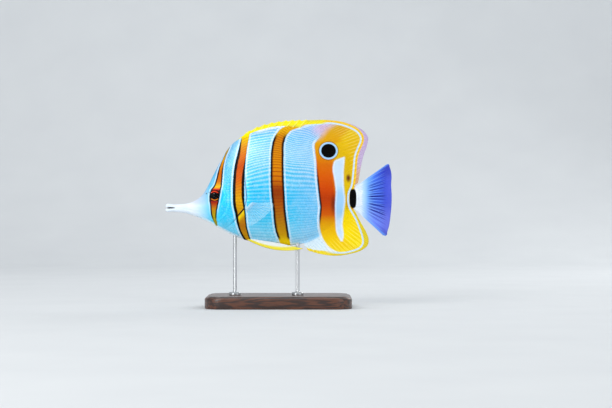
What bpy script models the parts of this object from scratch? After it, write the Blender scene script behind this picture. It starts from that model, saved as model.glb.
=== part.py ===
"""A copperband butterflyfish at life size, held by a plain two-rod display stand.

The fish is designed in its own frame and parented to an empty at its snout tip: X runs back towards
the tail, Y towards its right side and Z up. The stand is in the world frame, centred on the origin.
"""

import math

import bmesh
import bpy
import numpy as np
from mathutils import Matrix, Vector

MM = 0.001

# Driving dimensions
TOTAL_LENGTH = 150 * MM  # snout tip to the end of the tail fin
SNOUT_HEIGHT = 66 * MM  # the mouth line over the floor
GAP = 0.3  # millimetres kept between parts that touch
SIDES = (("left", -1), ("right", 1))

# The body without its fins, in millimetres behind the snout tip and over the mouth line
BACK_LINE = (
    (0, 1.7), (1.6, 2.3), (4, 1.9), (10, 1.9), (15.5, 2.7), (20, 4.6), (24.9, 8.7), (28.2, 14.2),
    (32.3, 22.4), (40.2, 36.8), (50.8, 46.9), (65, 52.2), (80, 54.2), (92, 52.8), (105.6, 45.8),
    (114.2, 35.7), (119.5, 25.4), (123.2, 16.6), (126.6, 12.9),
)  # fmt: skip
BELLY_LINE = (
    (0, -2.6), (1.6, -3.2), (4, -3.0), (9, -3.4), (14.3, -4.2), (22, -6.8), (28, -9.5), (35.4, -13.7),
    (43.8, -18.1), (52, -21.4), (66, -24.2), (80, -25.2), (90, -24.2), (99, -20.6), (108, -14.6),
    (116, -7), (122, -1.3), (126.6, -0.5),
)  # fmt: skip
HALF_WIDTH = (
    (0, 1.6), (1.6, 2.0), (4, 1.8), (10, 2.3), (16, 3.0), (22, 4.2), (29, 6.1), (36, 7.6),
    (46, 9.1), (60, 9.8), (75, 9.3), (90, 7.7), (105, 5.6), (116, 3.6), (122, 2.5), (126.6, 2.0),
)  # fmt: skip
WIDEST_LEVEL = (
    (0, -0.5), (18, -0.2), (30, 2), (45, 6), (62, 9), (85, 11), (104, 11), (118, 8.5), (126.6, 6.2),
)  # fmt: skip
SECTION_SHARPNESS = ((0, 1.0), (24, 1.0), (48, 1.25), (110, 1.3), (126.6, 1.0))  # 1 is an ellipse
BODY_END = 126.3
NOSE_ROUND = 1.4  # length over which the lips round off
STATION_SPANS = ((0.06, 1.4, 3), (1.4, 16, 5), (16, 34, 9), (34, 92, 12), (92, BODY_END, 11))
RING_POINTS = 28

# Where the body is parted, in side view
SNOUT_CUT = 22.0
STALK_CUT = 120.4
GILL_LINE = (  # height, then distance behind the snout tip
    (-34, 16), (-20, 29), (-15.5, 36.5), (-12, 42), (-6.2, 47.8), (-1, 51.8), (4, 53.4), (15, 53),
    (30, 51.4), (46, 48), (62, 44),
)  # fmt: skip
GILL_LINE_POINTS = 40
MOUTH_CORNER = (7.2, -0.45)
MOUTH_OPENING = 0.95  # between the lips
JAW_JOINT = (8.9, -6.0)  # foot of the slanted cut behind the lower jaw
FRONT, REAR, DOWN, UP, SIDEWAYS = -20, 170, -40, 62, 30  # reach of the cutters, clear of the body

# Gill covers, plates set into the sides of the head
GILL_COVER_CORNERS = (
    (44.5, 21), (50, 25), (58, 18), (58, 2), (52, -6), (46, -11), (40.5, -9), (39.5, 1), (41, 12),
)  # fmt: skip
GILL_COVER_DEPTH = 1.4
GILL_COVER_RISE = 0.35
GILL_COVER_INNER = 2.5  # nearest that a cover's cutter comes to the midplane

# Eyes and nostrils
EYE_CENTRE = (32.8, 7.5)
EYE_RADIUS = 4.1
EYE_HALF_DEPTH = 2.9
EYE_RISE = 1.0  # how far the eyeball stands out of the head
NOSTRILS = ((27.4, 8.9, 0.55), (29.2, 9.8, 0.42))  # distance, height, radius

# Median fins: each margin point is (share of the way along the root, distance, height)
SPINY_ROOT = (50.8, 89.8)
SPINY_MARGIN = (
    (0, 52.6, 49.0), (0.15, 59.5, 52.3), (0.35, 68.5, 55.3), (0.6, 79, 57), (1, 94.4, 57.6),
)  # fmt: skip
SOFT_DORSAL_ROOT = (90.2, 124.6)
SOFT_DORSAL_MARGIN = (
    (0, 94.9, 57.6), (0.2, 108, 57.6), (0.35, 118.5, 56.1), (0.48, 126.1, 53.4), (0.58, 131.6, 49.8),
    (0.65, 134, 45.8), (0.72, 133.3, 41), (0.82, 130.8, 33.5), (0.92, 128.8, 24), (1, 127.3, 16),
)  # fmt: skip
ANAL_ROOT = (91.4, 123.4)
ANAL_MARGIN = (
    (0, 94.2, -28.6), (0.15, 103, -31.1), (0.3, 112, -32.1), (0.45, 121, -31.1), (0.58, 129.5, -28.6),
    (0.66, 133.5, -25.6), (0.74, 134.4, -21.3), (0.82, 132.7, -16.3), (0.92, 128.8, -9.3), (1, 125.8, -3.4),
)  # fmt: skip
TAIL_ROOT = (12.4, 0.1)  # heights of its ends
TAIL_MARGIN = (
    (0, 148.1, 29.4), (0.05, 148.9, 26), (0.3, 149.7, 14), (0.5, 150, 6.4), (0.7, 149.5, -3.5),
    (0.93, 147.2, -15.8), (1, 145.2, -19.6),
)  # fmt: skip
TAIL_SWEEP = 2.6  # sideways, at the trailing edge
FIN_WAVE = 0.7  # sideways ripple of the soft dorsal and anal margins
ROOT_SINK = 1.4  # how far a root runs into the body before it is cut to it
SPINY_JAG = 0.8  # how far a dorsal spine's tip stands past the membrane
SPINE_CREST = 1.7  # a spine's ridge, with a soft ray's as 1
RAY_FOOT = 0.3  # half the width of a ray's ridge, as a share of the ray spacing
RIDGE_TAPER = 0.75  # how much of a ridge's height is gone at the margin
SLOPE_STEP = 0.1

# Paired fins
PECTORAL_BASE = (55.4, 1.2)
PECTORAL_BASE_HALF = 2.7
PECTORAL_SINK = 1.0
PECTORAL_LENGTH = 23.0
PECTORAL_FAN = math.radians(64)
PECTORAL_DROOP = math.radians(42)
PECTORAL_FLARE = math.radians(46)
PECTORAL_CUP = 1.2
PELVIC_ROOT = ((54.2, -21.9), (58.6, -21.6))  # the spine's and the innermost ray's
PELVIC_TIP = ((91.0, -27.4), (76.0, -23.9))
PELVIC_BOW = 3.6  # how far the spine bows down between its root and its tip
PELVIC_ROOT_SPREAD = (1.5, 3.1)  # from the midplane, at the spine and at the inner ray
PELVIC_TIP_SPREAD = (2.7, 3.5)

# Display stand, in world millimetres
BASE_SIZE = (96, 60, 8)
BASE_CORNER = 12
BASE_EDGE = 1.2
ROD_RADIUS = 1.25
ROD_FOOT_RADIUS = 4.0
ROD_FOOT_HEIGHT = 1.6
ROD_FILLET = 0.8
ROD_FOOT_EDGE = 0.4
ROD_OVERRUN = 2.5  # how far a rod runs into the belly before it is cut to it
RODS = (("front", 46.0), ("rear", 87.4))  # distance behind the snout tip

PAINTS = {  # colour, roughness, metallic value
    "silver_blue": ((0.42, 0.82, 0.95, 1), 0.35, 0.0),
    "snout_white": ((0.86, 0.90, 0.95, 1), 0.38, 0.0),
    "fin_yellow": ((0.95, 0.78, 0.03, 1), 0.42, 0.0),
    "tail_violet": ((0.30, 0.40, 0.92, 1), 0.40, 0.0),
    "clear_fin": ((0.80, 0.90, 0.96, 1), 0.30, 0.0),
    "eye_black": ((0.01, 0.01, 0.012, 1), 0.05, 0.0),
    "stand_wood": ((0.10, 0.045, 0.02, 1), 0.45, 0.0),
    "stand_steel": ((0.62, 0.63, 0.64, 1), 0.3, 1.0),
}


# Scene, paints and curves


def clear_scene():
    for obj in list(bpy.data.objects):
        bpy.data.objects.remove(obj, do_unlink=True)


def make_collection(name):
    collection = bpy.data.collections.new(name)
    bpy.context.scene.collection.children.link(collection)
    return collection


def make_paint(name):
    colour, roughness, metallic = PAINTS[name]
    material = bpy.data.materials.new(name)
    material.use_nodes = True
    shader = material.node_tree.nodes["Principled BSDF"]
    shader.inputs["Base Color"].default_value = colour
    shader.inputs["Roughness"].default_value = roughness
    shader.inputs["Metallic"].default_value = metallic
    return material


def smooth_through(points, column=1):
    """A smooth function of the points' first column that passes through their given column."""
    table = np.array(points, float)
    x, y = table[:, 0], table[:, column]
    span = np.diff(x)
    rise = np.diff(y) / span
    slope = np.empty(len(x))
    slope[0], slope[-1] = rise[0], rise[-1]
    slope[1:-1] = (span[1:] * rise[:-1] + span[:-1] * rise[1:]) / (span[1:] + span[:-1])

    def value(at):
        i = int(np.clip(np.searchsorted(x, at) - 1, 0, len(x) - 2))
        t = (at - x[i]) / span[i]
        from_start = y[i] * (1 + 2 * t) * (1 - t) ** 2 + slope[i] * span[i] * t * (1 - t) ** 2
        to_end = y[i + 1] * (3 - 2 * t) * t**2 + slope[i + 1] * span[i] * (t - 1) * t**2
        return from_start + to_end

    return value


back_height = smooth_through(BACK_LINE)
belly_height = smooth_through(BELLY_LINE)
half_width = smooth_through(HALF_WIDTH)
widest_level = smooth_through(WIDEST_LEVEL)
sharpness = smooth_through(SECTION_SHARPNESS)
gill_distance = smooth_through(GILL_LINE)


def section_point(distance, turn):
    """Distance from the midplane and height of a point of the body's cross-section.

    turn is -90 degrees at the belly, 0 at the widest level and 90 on the back.
    """
    middle = widest_level(distance)
    rounding = math.sqrt(1 - (1 - min(distance / NOSE_ROUND, 1)) ** 2)
    edge = back_height(distance) if turn > 0 else belly_height(distance)
    up = abs(math.sin(turn)) * (edge - middle) * rounding
    out = half_width(distance) * rounding * max(math.cos(turn), 0) ** sharpness(distance)
    return out, middle + up


def body_side(distance, height):
    """Half the body's width at a height."""
    middle = widest_level(distance)
    edge = back_height(distance) if height > middle else belly_height(distance)
    share = min(abs((height - middle) / (edge - middle)), 1)
    return section_point(distance, math.asin(share))[0]


# Meshes and cuts


def link(name, mesh, collection, parent=None, paint=None):
    obj = bpy.data.objects.new(name, mesh)
    collection.objects.link(obj)
    obj.parent = parent
    if paint:
        mesh.materials.append(paint)
    return obj


def as_cutter(obj):
    obj.hide_render = True
    obj.display_type = "WIRE"
    return obj


def mesh_from(bm, name):
    """The bmesh, in millimetres, as a mesh in metres with its faces pointing out."""
    bmesh.ops.scale(bm, vec=Vector((MM, MM, MM)), verts=bm.verts)
    bmesh.ops.recalc_face_normals(bm, faces=bm.faces)
    mesh = bpy.data.meshes.new(name)
    bm.to_mesh(mesh)
    bm.free()
    return mesh


def body_cutter(name, grow=0.0):
    """The whole body as one loft, its surface moved out by grow millimetres."""
    bm = bmesh.new()
    spans = [np.linspace(start, end, count, endpoint=False) for start, end, count in STATION_SPANS]
    turns = np.linspace(-math.pi / 2, 1.5 * math.pi, RING_POINTS, endpoint=False)
    rings = []
    for distance in [*np.concatenate(spans), BODY_END]:
        ring = []
        for turn in turns:
            side = -1 if turn < math.pi / 2 else 1
            folded = turn if side < 0 else math.pi - turn
            out, height = section_point(distance, folded)
            ring.append(bm.verts.new((distance, side * out, height)))
        rings.append(ring)
    for ring, following in zip(rings, rings[1:]):
        for i in range(RING_POINTS):
            j = (i + 1) % RING_POINTS
            bm.faces.new((ring[i], ring[j], following[j], following[i]))
    bm.faces.new(rings[0])
    bm.faces.new(rings[-1])
    bmesh.ops.recalc_face_normals(bm, faces=bm.faces)
    bm.normal_update()
    for vert in bm.verts:
        vert.co += vert.normal * grow
    return as_cutter(link(name, mesh_from(bm, name), cutters, fish))


def prism(name, outline, low=-SIDEWAYS, high=SIDEWAYS):
    """A cutter with a side-view outline, from low to high millimetres across the body."""
    curve = bpy.data.curves.new(name, "CURVE")
    curve.dimensions = "2D"
    curve.fill_mode = "BOTH"
    curve.extrude = (high - low) / 2 * MM
    spline = curve.splines.new("POLY")
    spline.points.add(len(outline) - 1)
    for point, (distance, height) in zip(spline.points, outline):
        point.co = (distance * MM, height * MM, 0, 1)
    spline.use_cyclic_u = True
    flat = link(name, curve, cutters)
    upright = Matrix.Rotation(math.pi / 2, 4, "X")
    flat.matrix_world = Matrix.Translation((0, (low + high) / 2 * MM, 0)) @ upright
    bpy.context.view_layer.update()
    evaluated = flat.evaluated_get(bpy.context.evaluated_depsgraph_get())
    mesh = bpy.data.meshes.new_from_object(evaluated)
    mesh.transform(flat.matrix_world)
    bpy.data.objects.remove(flat)
    bm = bmesh.new()
    bm.from_mesh(mesh)
    bmesh.ops.remove_doubles(bm, verts=bm.verts, dist=0.001 * MM)
    bmesh.ops.recalc_face_normals(bm, faces=bm.faces)
    bm.to_mesh(mesh)
    bm.free()
    return as_cutter(link(name, mesh, cutters, fish))


def slab(name, front, rear):
    """A cutter that takes in all of the body between two distances behind the snout tip."""
    return prism(name, [(front, DOWN), (rear, DOWN), (rear, UP), (front, UP)])


def rounded_outline(corners, steps=3):
    """A closed smooth outline through the given corners."""
    looped = [corners[-1], *corners, corners[0], corners[1]]
    along = [(i - 1, *corner) for i, corner in enumerate(looped)]
    across, up = smooth_through(along), smooth_through(along, 2)
    return [(across(t), up(t)) for t in np.arange(0, len(corners), 1 / steps)]


def grown_outline(outline, by):
    """The outline moved outwards by the same distance everywhere."""
    points = np.array(outline)
    ahead, behind = np.roll(points, -1, axis=0), np.roll(points, 1, axis=0)
    run = ahead - behind
    outward = np.stack([run[:, 1], -run[:, 0]], axis=1)
    outward /= np.linalg.norm(outward, axis=1)[:, None]
    area = np.sum(points[:, 0] * ahead[:, 1] - ahead[:, 0] * points[:, 1])
    return [tuple(point) for point in points + outward * by * np.sign(area)]


def ball(name, centre, radii, collection, segments=16, rings=10, paint=None):
    """An ellipsoid with its poles across the body."""
    bm = bmesh.new()
    bmesh.ops.create_uvsphere(bm, u_segments=segments, v_segments=rings, radius=1)
    bmesh.ops.rotate(bm, cent=(0, 0, 0), matrix=Matrix.Rotation(math.pi / 2, 3, "X"), verts=bm.verts)
    bmesh.ops.scale(bm, vec=Vector(radii), verts=bm.verts)
    obj = link(name, mesh_from(bm, name), collection, fish, paint)
    obj.location = Vector(centre) * MM
    return obj


def cut(obj, operation, *others):
    """Applies a Boolean with each of the other objects and keeps the largest closed surface."""
    for other in others:
        modifier = obj.modifiers.new(other.name, "BOOLEAN")
        modifier.object = other
        modifier.operation = operation
        modifier.solver = "EXACT"
    bpy.context.view_layer.update()
    evaluated = obj.evaluated_get(bpy.context.evaluated_depsgraph_get())
    mesh = bpy.data.meshes.new_from_object(evaluated)
    obj.modifiers.clear()
    obj.data = mesh
    keep_largest(mesh)
    return obj


def keep_largest(mesh):
    bm = bmesh.new()
    bm.from_mesh(mesh)
    unvisited = set(bm.verts)
    pieces = []
    while unvisited:
        reached = [unvisited.pop()]
        piece = list(reached)
        while reached:
            for edge in reached.pop().link_edges:
                for vert in edge.verts:
                    if vert in unvisited:
                        unvisited.remove(vert)
                        reached.append(vert)
                        piece.append(vert)
        pieces.append(piece)
    pieces.sort(key=len)
    for piece in pieces[:-1]:
        bmesh.ops.delete(bm, geom=piece, context="VERTS")
    bm.to_mesh(mesh)
    bm.free()


def smooth_shading(obj, angle=35):
    obj.data.shade_smooth()
    obj.data.set_sharp_from_angle(angle=math.radians(angle))


# Body and head


def take(source, name, paint, *regions):
    """A named part: what of the source lies inside every region."""
    piece = link(name, source.data.copy(), parts, fish, paint)
    cut(piece, "INTERSECT", *regions)
    smooth_shading(piece)
    return piece


def gill_region(name, offset, far):
    """All that lies between the gill line, moved back by offset, and the distance far."""
    heights = np.linspace(GILL_LINE[0][0], GILL_LINE[-1][0], GILL_LINE_POINTS)
    edge = [(gill_distance(height) + offset, height) for height in heights]
    return prism(name, [*edge, (far, heights[-1]), (far, heights[0])])


def make_flesh():
    """Lower jaw, snout, head, gill covers, trunk and tail stalk, parted by thin cuts."""
    whole = body_cutter("whole_body")
    half_gap = GAP / 2
    corner_x, corner_z = MOUTH_CORNER
    joint_x, joint_z = JAW_JOINT
    jaw_region = prism("jaw_region", [
        (FRONT, corner_z - MOUTH_OPENING / 2), (corner_x, corner_z - half_gap), (joint_x, joint_z),
        (FRONT, joint_z),
    ])  # fmt: skip
    snout_region = prism("snout_region", [
        (FRONT, UP), (SNOUT_CUT - half_gap, UP), (SNOUT_CUT - half_gap, DOWN), (joint_x + GAP, DOWN),
        (joint_x + GAP, joint_z), (corner_x + GAP, corner_z), (corner_x, corner_z + half_gap),
        (FRONT, corner_z + MOUTH_OPENING / 2),
    ])  # fmt: skip
    before_gills = gill_region("before_gills", -half_gap, FRONT)
    behind_gills = gill_region("behind_gills", half_gap, REAR)

    take(whole, "lower_jaw", white, jaw_region)
    take(whole, "snout", white, snout_region)
    head = take(whole, "head", silver, before_gills, slab("behind_snout", SNOUT_CUT + half_gap, REAR))
    take(whole, "trunk", silver, behind_gills, slab("before_stalk", 0, STALK_CUT - half_gap))
    take(whole, "tail_stalk", silver, slab("behind_stalk", STALK_CUT + half_gap, REAR))

    set_gill_covers(head, before_gills)
    for side, sign in SIDES:
        set_eye(side, sign, head)
        pierce_nostrils(side, sign, head)
    smooth_shading(head)


def set_gill_covers(head, before_gills):
    """Plates that follow the side of the head, each in a pocket a gap wider than itself."""
    raised = body_cutter("raised_body", GILL_COVER_RISE)
    under_cover = body_cutter("under_cover", -GILL_COVER_DEPTH)
    under_pocket = body_cutter("under_pocket", -GILL_COVER_DEPTH - GAP)
    outline = rounded_outline(GILL_COVER_CORNERS)
    for side, sign in SIDES:
        low, high = sorted((GILL_COVER_INNER * sign, SIDEWAYS * sign))
        window = prism(f"cover_window_{side}", outline, low, high)
        cover = take(raised, f"gill_cover_{side}", silver, window, before_gills)
        cut(cover, "DIFFERENCE", under_cover)
        pocket = prism(f"cover_pocket_{side}", grown_outline(outline, GAP), low, high)
        cut(pocket, "DIFFERENCE", under_pocket)
        cut(head, "DIFFERENCE", pocket)


def set_eye(side, sign, head):
    distance, height = EYE_CENTRE
    out = body_side(distance, height) + EYE_RISE - EYE_HALF_DEPTH
    centre = (distance, sign * out, height)
    radii = np.array((EYE_RADIUS, EYE_HALF_DEPTH, EYE_RADIUS))
    smooth_shading(ball(f"eye_{side}", centre, radii, parts, paint=black))
    socket = ball(f"socket_{side}", centre, radii + GAP, cutters)
    cut(head, "DIFFERENCE", as_cutter(socket))


def pierce_nostrils(side, sign, head):
    for number, (distance, height, radius) in enumerate(NOSTRILS):
        centre = (distance, sign * body_side(distance, height), height)
        pit = ball(f"nostril_{side}_{number}", centre, (radius,) * 3, cutters, 10, 6)
        cut(head, "DIFFERENCE", as_cutter(pit))


# Fins


def ray_columns(rays, spines):
    """The columns of a fin's grid: each one's share along the root and how far up a ridge it is."""
    foot = RAY_FOOT / rays
    columns = [(0, 0)]
    for ray in range(rays):
        middle = (ray + 0.5) / rays
        crest = SPINE_CREST if ray < spines else 1
        columns += [(middle - foot, 0), (middle, crest), (middle + foot, 0)]
    return [*columns, (1, 0)]


def fin_mesh(name, root, margin, normal, rays, rows, halves, ridge, bend, spines=0, jag=0.0):
    """A thin fin between a root and a margin curve, its rays raised as ridges on both faces.

    halves are the half thicknesses at the root and the margin, ridge is what a ray adds at the root,
    bend(share, out) is how far the sheet is moved, and jag lifts each ray's tip past the membrane.
    Both faces are split into the same triangles.
    """
    columns = ray_columns(rays, spines)
    bm = bmesh.new()
    bmesh.ops.create_grid(bm, x_segments=len(columns) - 1, y_segments=rows, size=0.5)
    bmesh.ops.triangulate(bm, faces=bm.faces)
    near = set(bm.verts)
    bmesh.ops.extrude_face_region(bm, geom=bm.faces[:], use_keep_orig=True)
    for vert in bm.verts:
        column = round((vert.co.x + 0.5) * (len(columns) - 1))
        out = vert.co.y + 0.5
        share, crest = columns[column]
        start, end = root(share), margin(share)
        tip = end + (end - start).normalized() * jag * (min(crest, 1) - 0.5)
        half = halves[1] + (halves[0] - halves[1]) * (1 - out) ** 2
        half += crest * ridge * (1 - RIDGE_TAPER * out)
        face = -1 if vert in near else 1
        vert.co = start.lerp(tip, out) + bend(share, out) + normal * face * half
    return mesh_from(bm, name)


def edge_root(edge, ends):
    """Root curve of a median fin, just inside the back or the belly line."""
    start, end = ends
    inward = -1 if edge is back_height else 1

    def point(share):
        distance = start + (end - start) * share
        rise = edge(distance + SLOPE_STEP) - edge(distance - SLOPE_STEP)
        into_body = Vector((-rise, 0, 2 * SLOPE_STEP)).normalized() * inward
        return Vector((distance, 0, edge(distance))) + into_body * ROOT_SINK

    return point


def curve_through(points):
    across, up = smooth_through(points), smooth_through(points, 2)
    return lambda share: Vector((across(share), 0, up(share)))


def make_dorsal_and_anal_fins(grown):
    across = Vector((0, 1, 0))

    def straight(share, out):
        return Vector()

    def rippled(share, out):
        return across * FIN_WAVE * math.sin(2.5 * math.pi * share) * out**2

    spiny = fin_mesh(
        "dorsal_fin_spiny", edge_root(back_height, SPINY_ROOT), curve_through(SPINY_MARGIN), across,
        rays=9, rows=3, halves=(1.1, 0.3), ridge=0.3, bend=straight, jag=SPINY_JAG,
    )  # fmt: skip
    soft = fin_mesh(
        "dorsal_fin_soft", edge_root(back_height, SOFT_DORSAL_ROOT), curve_through(SOFT_DORSAL_MARGIN),
        across, rays=20, rows=5, halves=(1.5, 0.28), ridge=0.3, bend=rippled,
    )  # fmt: skip
    anal = fin_mesh(
        "anal_fin", edge_root(belly_height, ANAL_ROOT), curve_through(ANAL_MARGIN), across,
        rays=17, rows=5, halves=(1.4, 0.28), ridge=0.3, bend=rippled, spines=3,
    )  # fmt: skip
    for mesh in (spiny, soft, anal):
        cut(link(mesh.name, mesh, parts, fish, yellow), "DIFFERENCE", grown)


def make_tail_fin():
    """A fan a little swept to the fish's right, as in a slow turn."""
    across = Vector((0, 1, 0))
    top, bottom = TAIL_ROOT

    def root(share):
        return Vector((BODY_END + GAP, 0, top + (bottom - top) * share))

    def swept(share, out):
        return across * (TAIL_SWEEP * out**2 + FIN_WAVE * math.sin(3 * math.pi * share) * out)

    mesh = fin_mesh(
        "tail_fin", root, curve_through(TAIL_MARGIN), across,
        rays=15, rows=5, halves=(1.5, 0.27), ridge=0.3, bend=swept,
    )  # fmt: skip
    link(mesh.name, mesh, parts, fish, violet)


def make_pectoral_fin(side, sign, grown):
    """A fan of rays that stands out from the flank and droops."""
    distance, height = PECTORAL_BASE
    base = Vector((distance, sign * (body_side(distance, height) - PECTORAL_SINK), height))
    line = Vector((math.sin(PECTORAL_DROOP), 0, math.cos(PECTORAL_DROOP)))
    turn = Matrix.Rotation(sign * PECTORAL_FLARE, 3, line)
    middle = turn @ Vector((math.cos(PECTORAL_DROOP), 0, -math.sin(PECTORAL_DROOP)))
    normal = turn @ Vector((0, sign, 0))

    def root(share):
        return base + line * PECTORAL_BASE_HALF * (1 - 2 * share)

    def margin(share):
        angle = (0.5 - share) * PECTORAL_FAN
        rounding = (1 - 0.28 * share) * (1 - 0.25 * (2 * share - 1) ** 6)
        direction = middle * math.cos(angle) + line * math.sin(angle)
        return root(share) + direction * PECTORAL_LENGTH * rounding

    def cupped(share, out):
        return normal * PECTORAL_CUP * (out**2 - 0.75 * (2 * share - 1) ** 2 * out)

    mesh = fin_mesh(
        f"pectoral_fin_{side}", root, margin, normal,
        rays=11, rows=5, halves=(0.7, 0.26), ridge=0.25, bend=cupped,
    )  # fmt: skip
    cut(link(mesh.name, mesh, parts, fish, clear), "DIFFERENCE", grown)


def make_pelvic_fin(side, sign, grown):
    """A narrow blade folded back along the belly, its spine the lower edge."""

    def edge(ends, spread):
        outer, inner = (Vector((x, sign * y, z)) for (x, z), y in zip(ends, spread))
        return lambda share: outer.lerp(inner, share)

    def bowed(share, out):
        return Vector((0, 0, -4 * PELVIC_BOW * out * (1 - out) * (1 - share)))

    mesh = fin_mesh(
        f"pelvic_fin_{side}", edge(PELVIC_ROOT, PELVIC_ROOT_SPREAD), edge(PELVIC_TIP, PELVIC_TIP_SPREAD),
        Vector((0, sign, 0.4)).normalized(),
        rays=6, rows=6, halves=(0.5, 0.27), ridge=0.22, bend=bowed, spines=1,
    )  # fmt: skip
    cut(link(mesh.name, mesh, parts, fish, yellow), "DIFFERENCE", grown)


# Stand


def make_base():
    height = BASE_SIZE[2]
    bm = bmesh.new()
    bmesh.ops.create_cube(bm, size=1)
    bmesh.ops.scale(bm, vec=Vector(BASE_SIZE), verts=bm.verts)
    bmesh.ops.translate(bm, vec=(0, 0, height / 2), verts=bm.verts)
    upright = [edge for edge in bm.edges if edge.verts[0].co.z != edge.verts[1].co.z]
    bmesh.ops.bevel(bm, geom=upright, offset=BASE_CORNER, segments=6, affect="EDGES", profile=0.5)
    base = link("stand_base", mesh_from(bm, "stand_base"), parts, None, wood)
    edge = base.modifiers.new("edge", "BEVEL")
    edge.width = BASE_EDGE * MM
    edge.segments = 2
    edge.limit_method = "ANGLE"
    edge.angle_limit = math.radians(60)
    smooth_shading(base)


def make_rod(name, distance, grown):
    """A turned rod with a round foot, its top cut to the belly."""
    top = belly_height(distance) + SNOUT_HEIGHT / MM + ROD_OVERRUN
    floor = BASE_SIZE[2] + GAP
    foot = floor + ROD_FOOT_HEIGHT
    profile = [
        (0, top), (ROD_RADIUS, top), (ROD_RADIUS, foot + ROD_FILLET), (ROD_RADIUS + ROD_FILLET, foot),
        (ROD_FOOT_RADIUS - ROD_FOOT_EDGE, foot), (ROD_FOOT_RADIUS, foot - ROD_FOOT_EDGE),
        (ROD_FOOT_RADIUS, floor), (0, floor),
    ]  # fmt: skip
    mesh = bpy.data.meshes.new(name)
    points = [(radius * MM, 0, height * MM) for radius, height in profile]
    mesh.from_pydata(points, [(i, i + 1) for i in range(len(points) - 1)], [])
    rod = link(name, mesh, parts, None, steel)
    rod.location.x = distance * MM - TOTAL_LENGTH / 2
    screw = rod.modifiers.new("turned", "SCREW")
    screw.steps = screw.render_steps = 20
    screw.use_merge_vertices = True
    screw.merge_threshold = 0.00001
    cut(rod, "DIFFERENCE", grown)
    smooth_shading(rod)


clear_scene()
parts = make_collection("copperband_butterflyfish")
cutters = make_collection("cutters")
fish = bpy.data.objects.new("fish", None)
parts.objects.link(fish)
fish.location = (-TOTAL_LENGTH / 2, 0, SNOUT_HEIGHT)
bpy.context.view_layer.update()
silver, white = make_paint("silver_blue"), make_paint("snout_white")
yellow, violet, clear = make_paint("fin_yellow"), make_paint("tail_violet"), make_paint("clear_fin")
black, wood, steel = make_paint("eye_black"), make_paint("stand_wood"), make_paint("stand_steel")

make_flesh()
grown_body = body_cutter("grown_body", GAP)
make_dorsal_and_anal_fins(grown_body)
make_tail_fin()
for side_name, side_sign in SIDES:
    make_pectoral_fin(side_name, side_sign, grown_body)
    make_pelvic_fin(side_name, side_sign, grown_body)
make_base()
for rod_name, rod_distance in RODS:
    make_rod(f"stand_rod_{rod_name}", rod_distance, grown_body)
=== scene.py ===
"""The looks of the copperband butterflyfish: skin, scales, fins, eyes, stand, studio light and camera.

Shapes are worked out in the fish's own millimetres: distance runs back from the snout tip, height
goes up from the mouth line and out goes away from the midplane. Markings are stored on every vertex
as distances to the edges of the bands, spots and lines, and one node group paints them.
"""

import math

import bmesh
import bpy
import numpy as np
from mathutils import Matrix, Vector


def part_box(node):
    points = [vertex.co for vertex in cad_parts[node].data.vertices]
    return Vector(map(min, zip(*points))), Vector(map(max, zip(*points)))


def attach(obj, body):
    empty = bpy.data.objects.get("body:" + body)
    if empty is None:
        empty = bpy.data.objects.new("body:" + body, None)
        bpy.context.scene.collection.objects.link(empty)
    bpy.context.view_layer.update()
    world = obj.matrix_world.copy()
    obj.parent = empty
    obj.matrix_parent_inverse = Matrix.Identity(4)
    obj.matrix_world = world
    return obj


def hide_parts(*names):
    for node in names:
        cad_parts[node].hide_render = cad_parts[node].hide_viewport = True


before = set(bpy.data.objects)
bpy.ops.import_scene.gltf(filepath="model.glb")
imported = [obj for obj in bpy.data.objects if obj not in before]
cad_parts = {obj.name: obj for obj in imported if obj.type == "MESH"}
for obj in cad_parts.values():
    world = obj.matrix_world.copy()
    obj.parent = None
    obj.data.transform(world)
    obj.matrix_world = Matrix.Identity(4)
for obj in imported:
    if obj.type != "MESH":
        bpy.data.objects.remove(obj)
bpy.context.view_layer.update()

MM = 0.001
SIDES = (("left", -1), ("right", 1))
SNOUT_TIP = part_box("snout")[0][0]
MOUTH_LINE = 0.066

# Body, as in the solids: (distance, value)
BACK_LINE = (
    (0, 1.7), (1.6, 2.3), (4, 1.9), (10, 1.9), (15.5, 2.7), (20, 4.6), (24.9, 8.7), (28.2, 14.2),
    (32.3, 22.4), (40.2, 36.8), (50.8, 46.9), (65, 52.2), (80, 54.2), (92, 52.8), (105.6, 45.8),
    (114.2, 35.7), (119.5, 25.4), (123.2, 16.6), (126.6, 12.9), (129.6, 12.3), (131.6, 12.5),
)  # fmt: skip
BELLY_LINE = (
    (0, -2.6), (1.6, -3.2), (4, -3.0), (9, -3.4), (14.3, -4.2), (22, -6.8), (28, -9.5), (35.4, -13.7),
    (43.8, -18.1), (52, -21.4), (66, -24.2), (80, -25.2), (90, -24.2), (99, -20.6), (108, -14.6),
    (116, -7), (122, -1.3), (126.6, -0.5), (129.6, 0.0), (131.6, -0.2),
)  # fmt: skip
HALF_WIDTH = (
    (0, 1.6), (1.6, 2.0), (4, 1.8), (10, 2.3), (16, 3.0), (22, 4.2), (29, 6.1), (36, 7.6),
    (46, 9.1), (60, 9.8), (75, 9.3), (90, 7.7), (105, 5.6), (116, 3.6), (122, 2.5), (126.6, 1.75),
    (129.6, 0.75), (131.6, 0.06),
)  # fmt: skip
WIDEST_LEVEL = (
    (0, -0.5), (18, -0.2), (30, 2), (45, 6), (62, 9), (85, 11), (104, 11), (118, 8.5), (126.6, 6.2),
    (131.6, 6.1),
)  # fmt: skip
SECTION_SHARPNESS = ((0, 1.0), (24, 1.0), (48, 1.25), (110, 1.3), (126.6, 1.0), (131.6, 1.0))
NOSE_ROUND = 1.4
SKIN_END = 131.5

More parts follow.
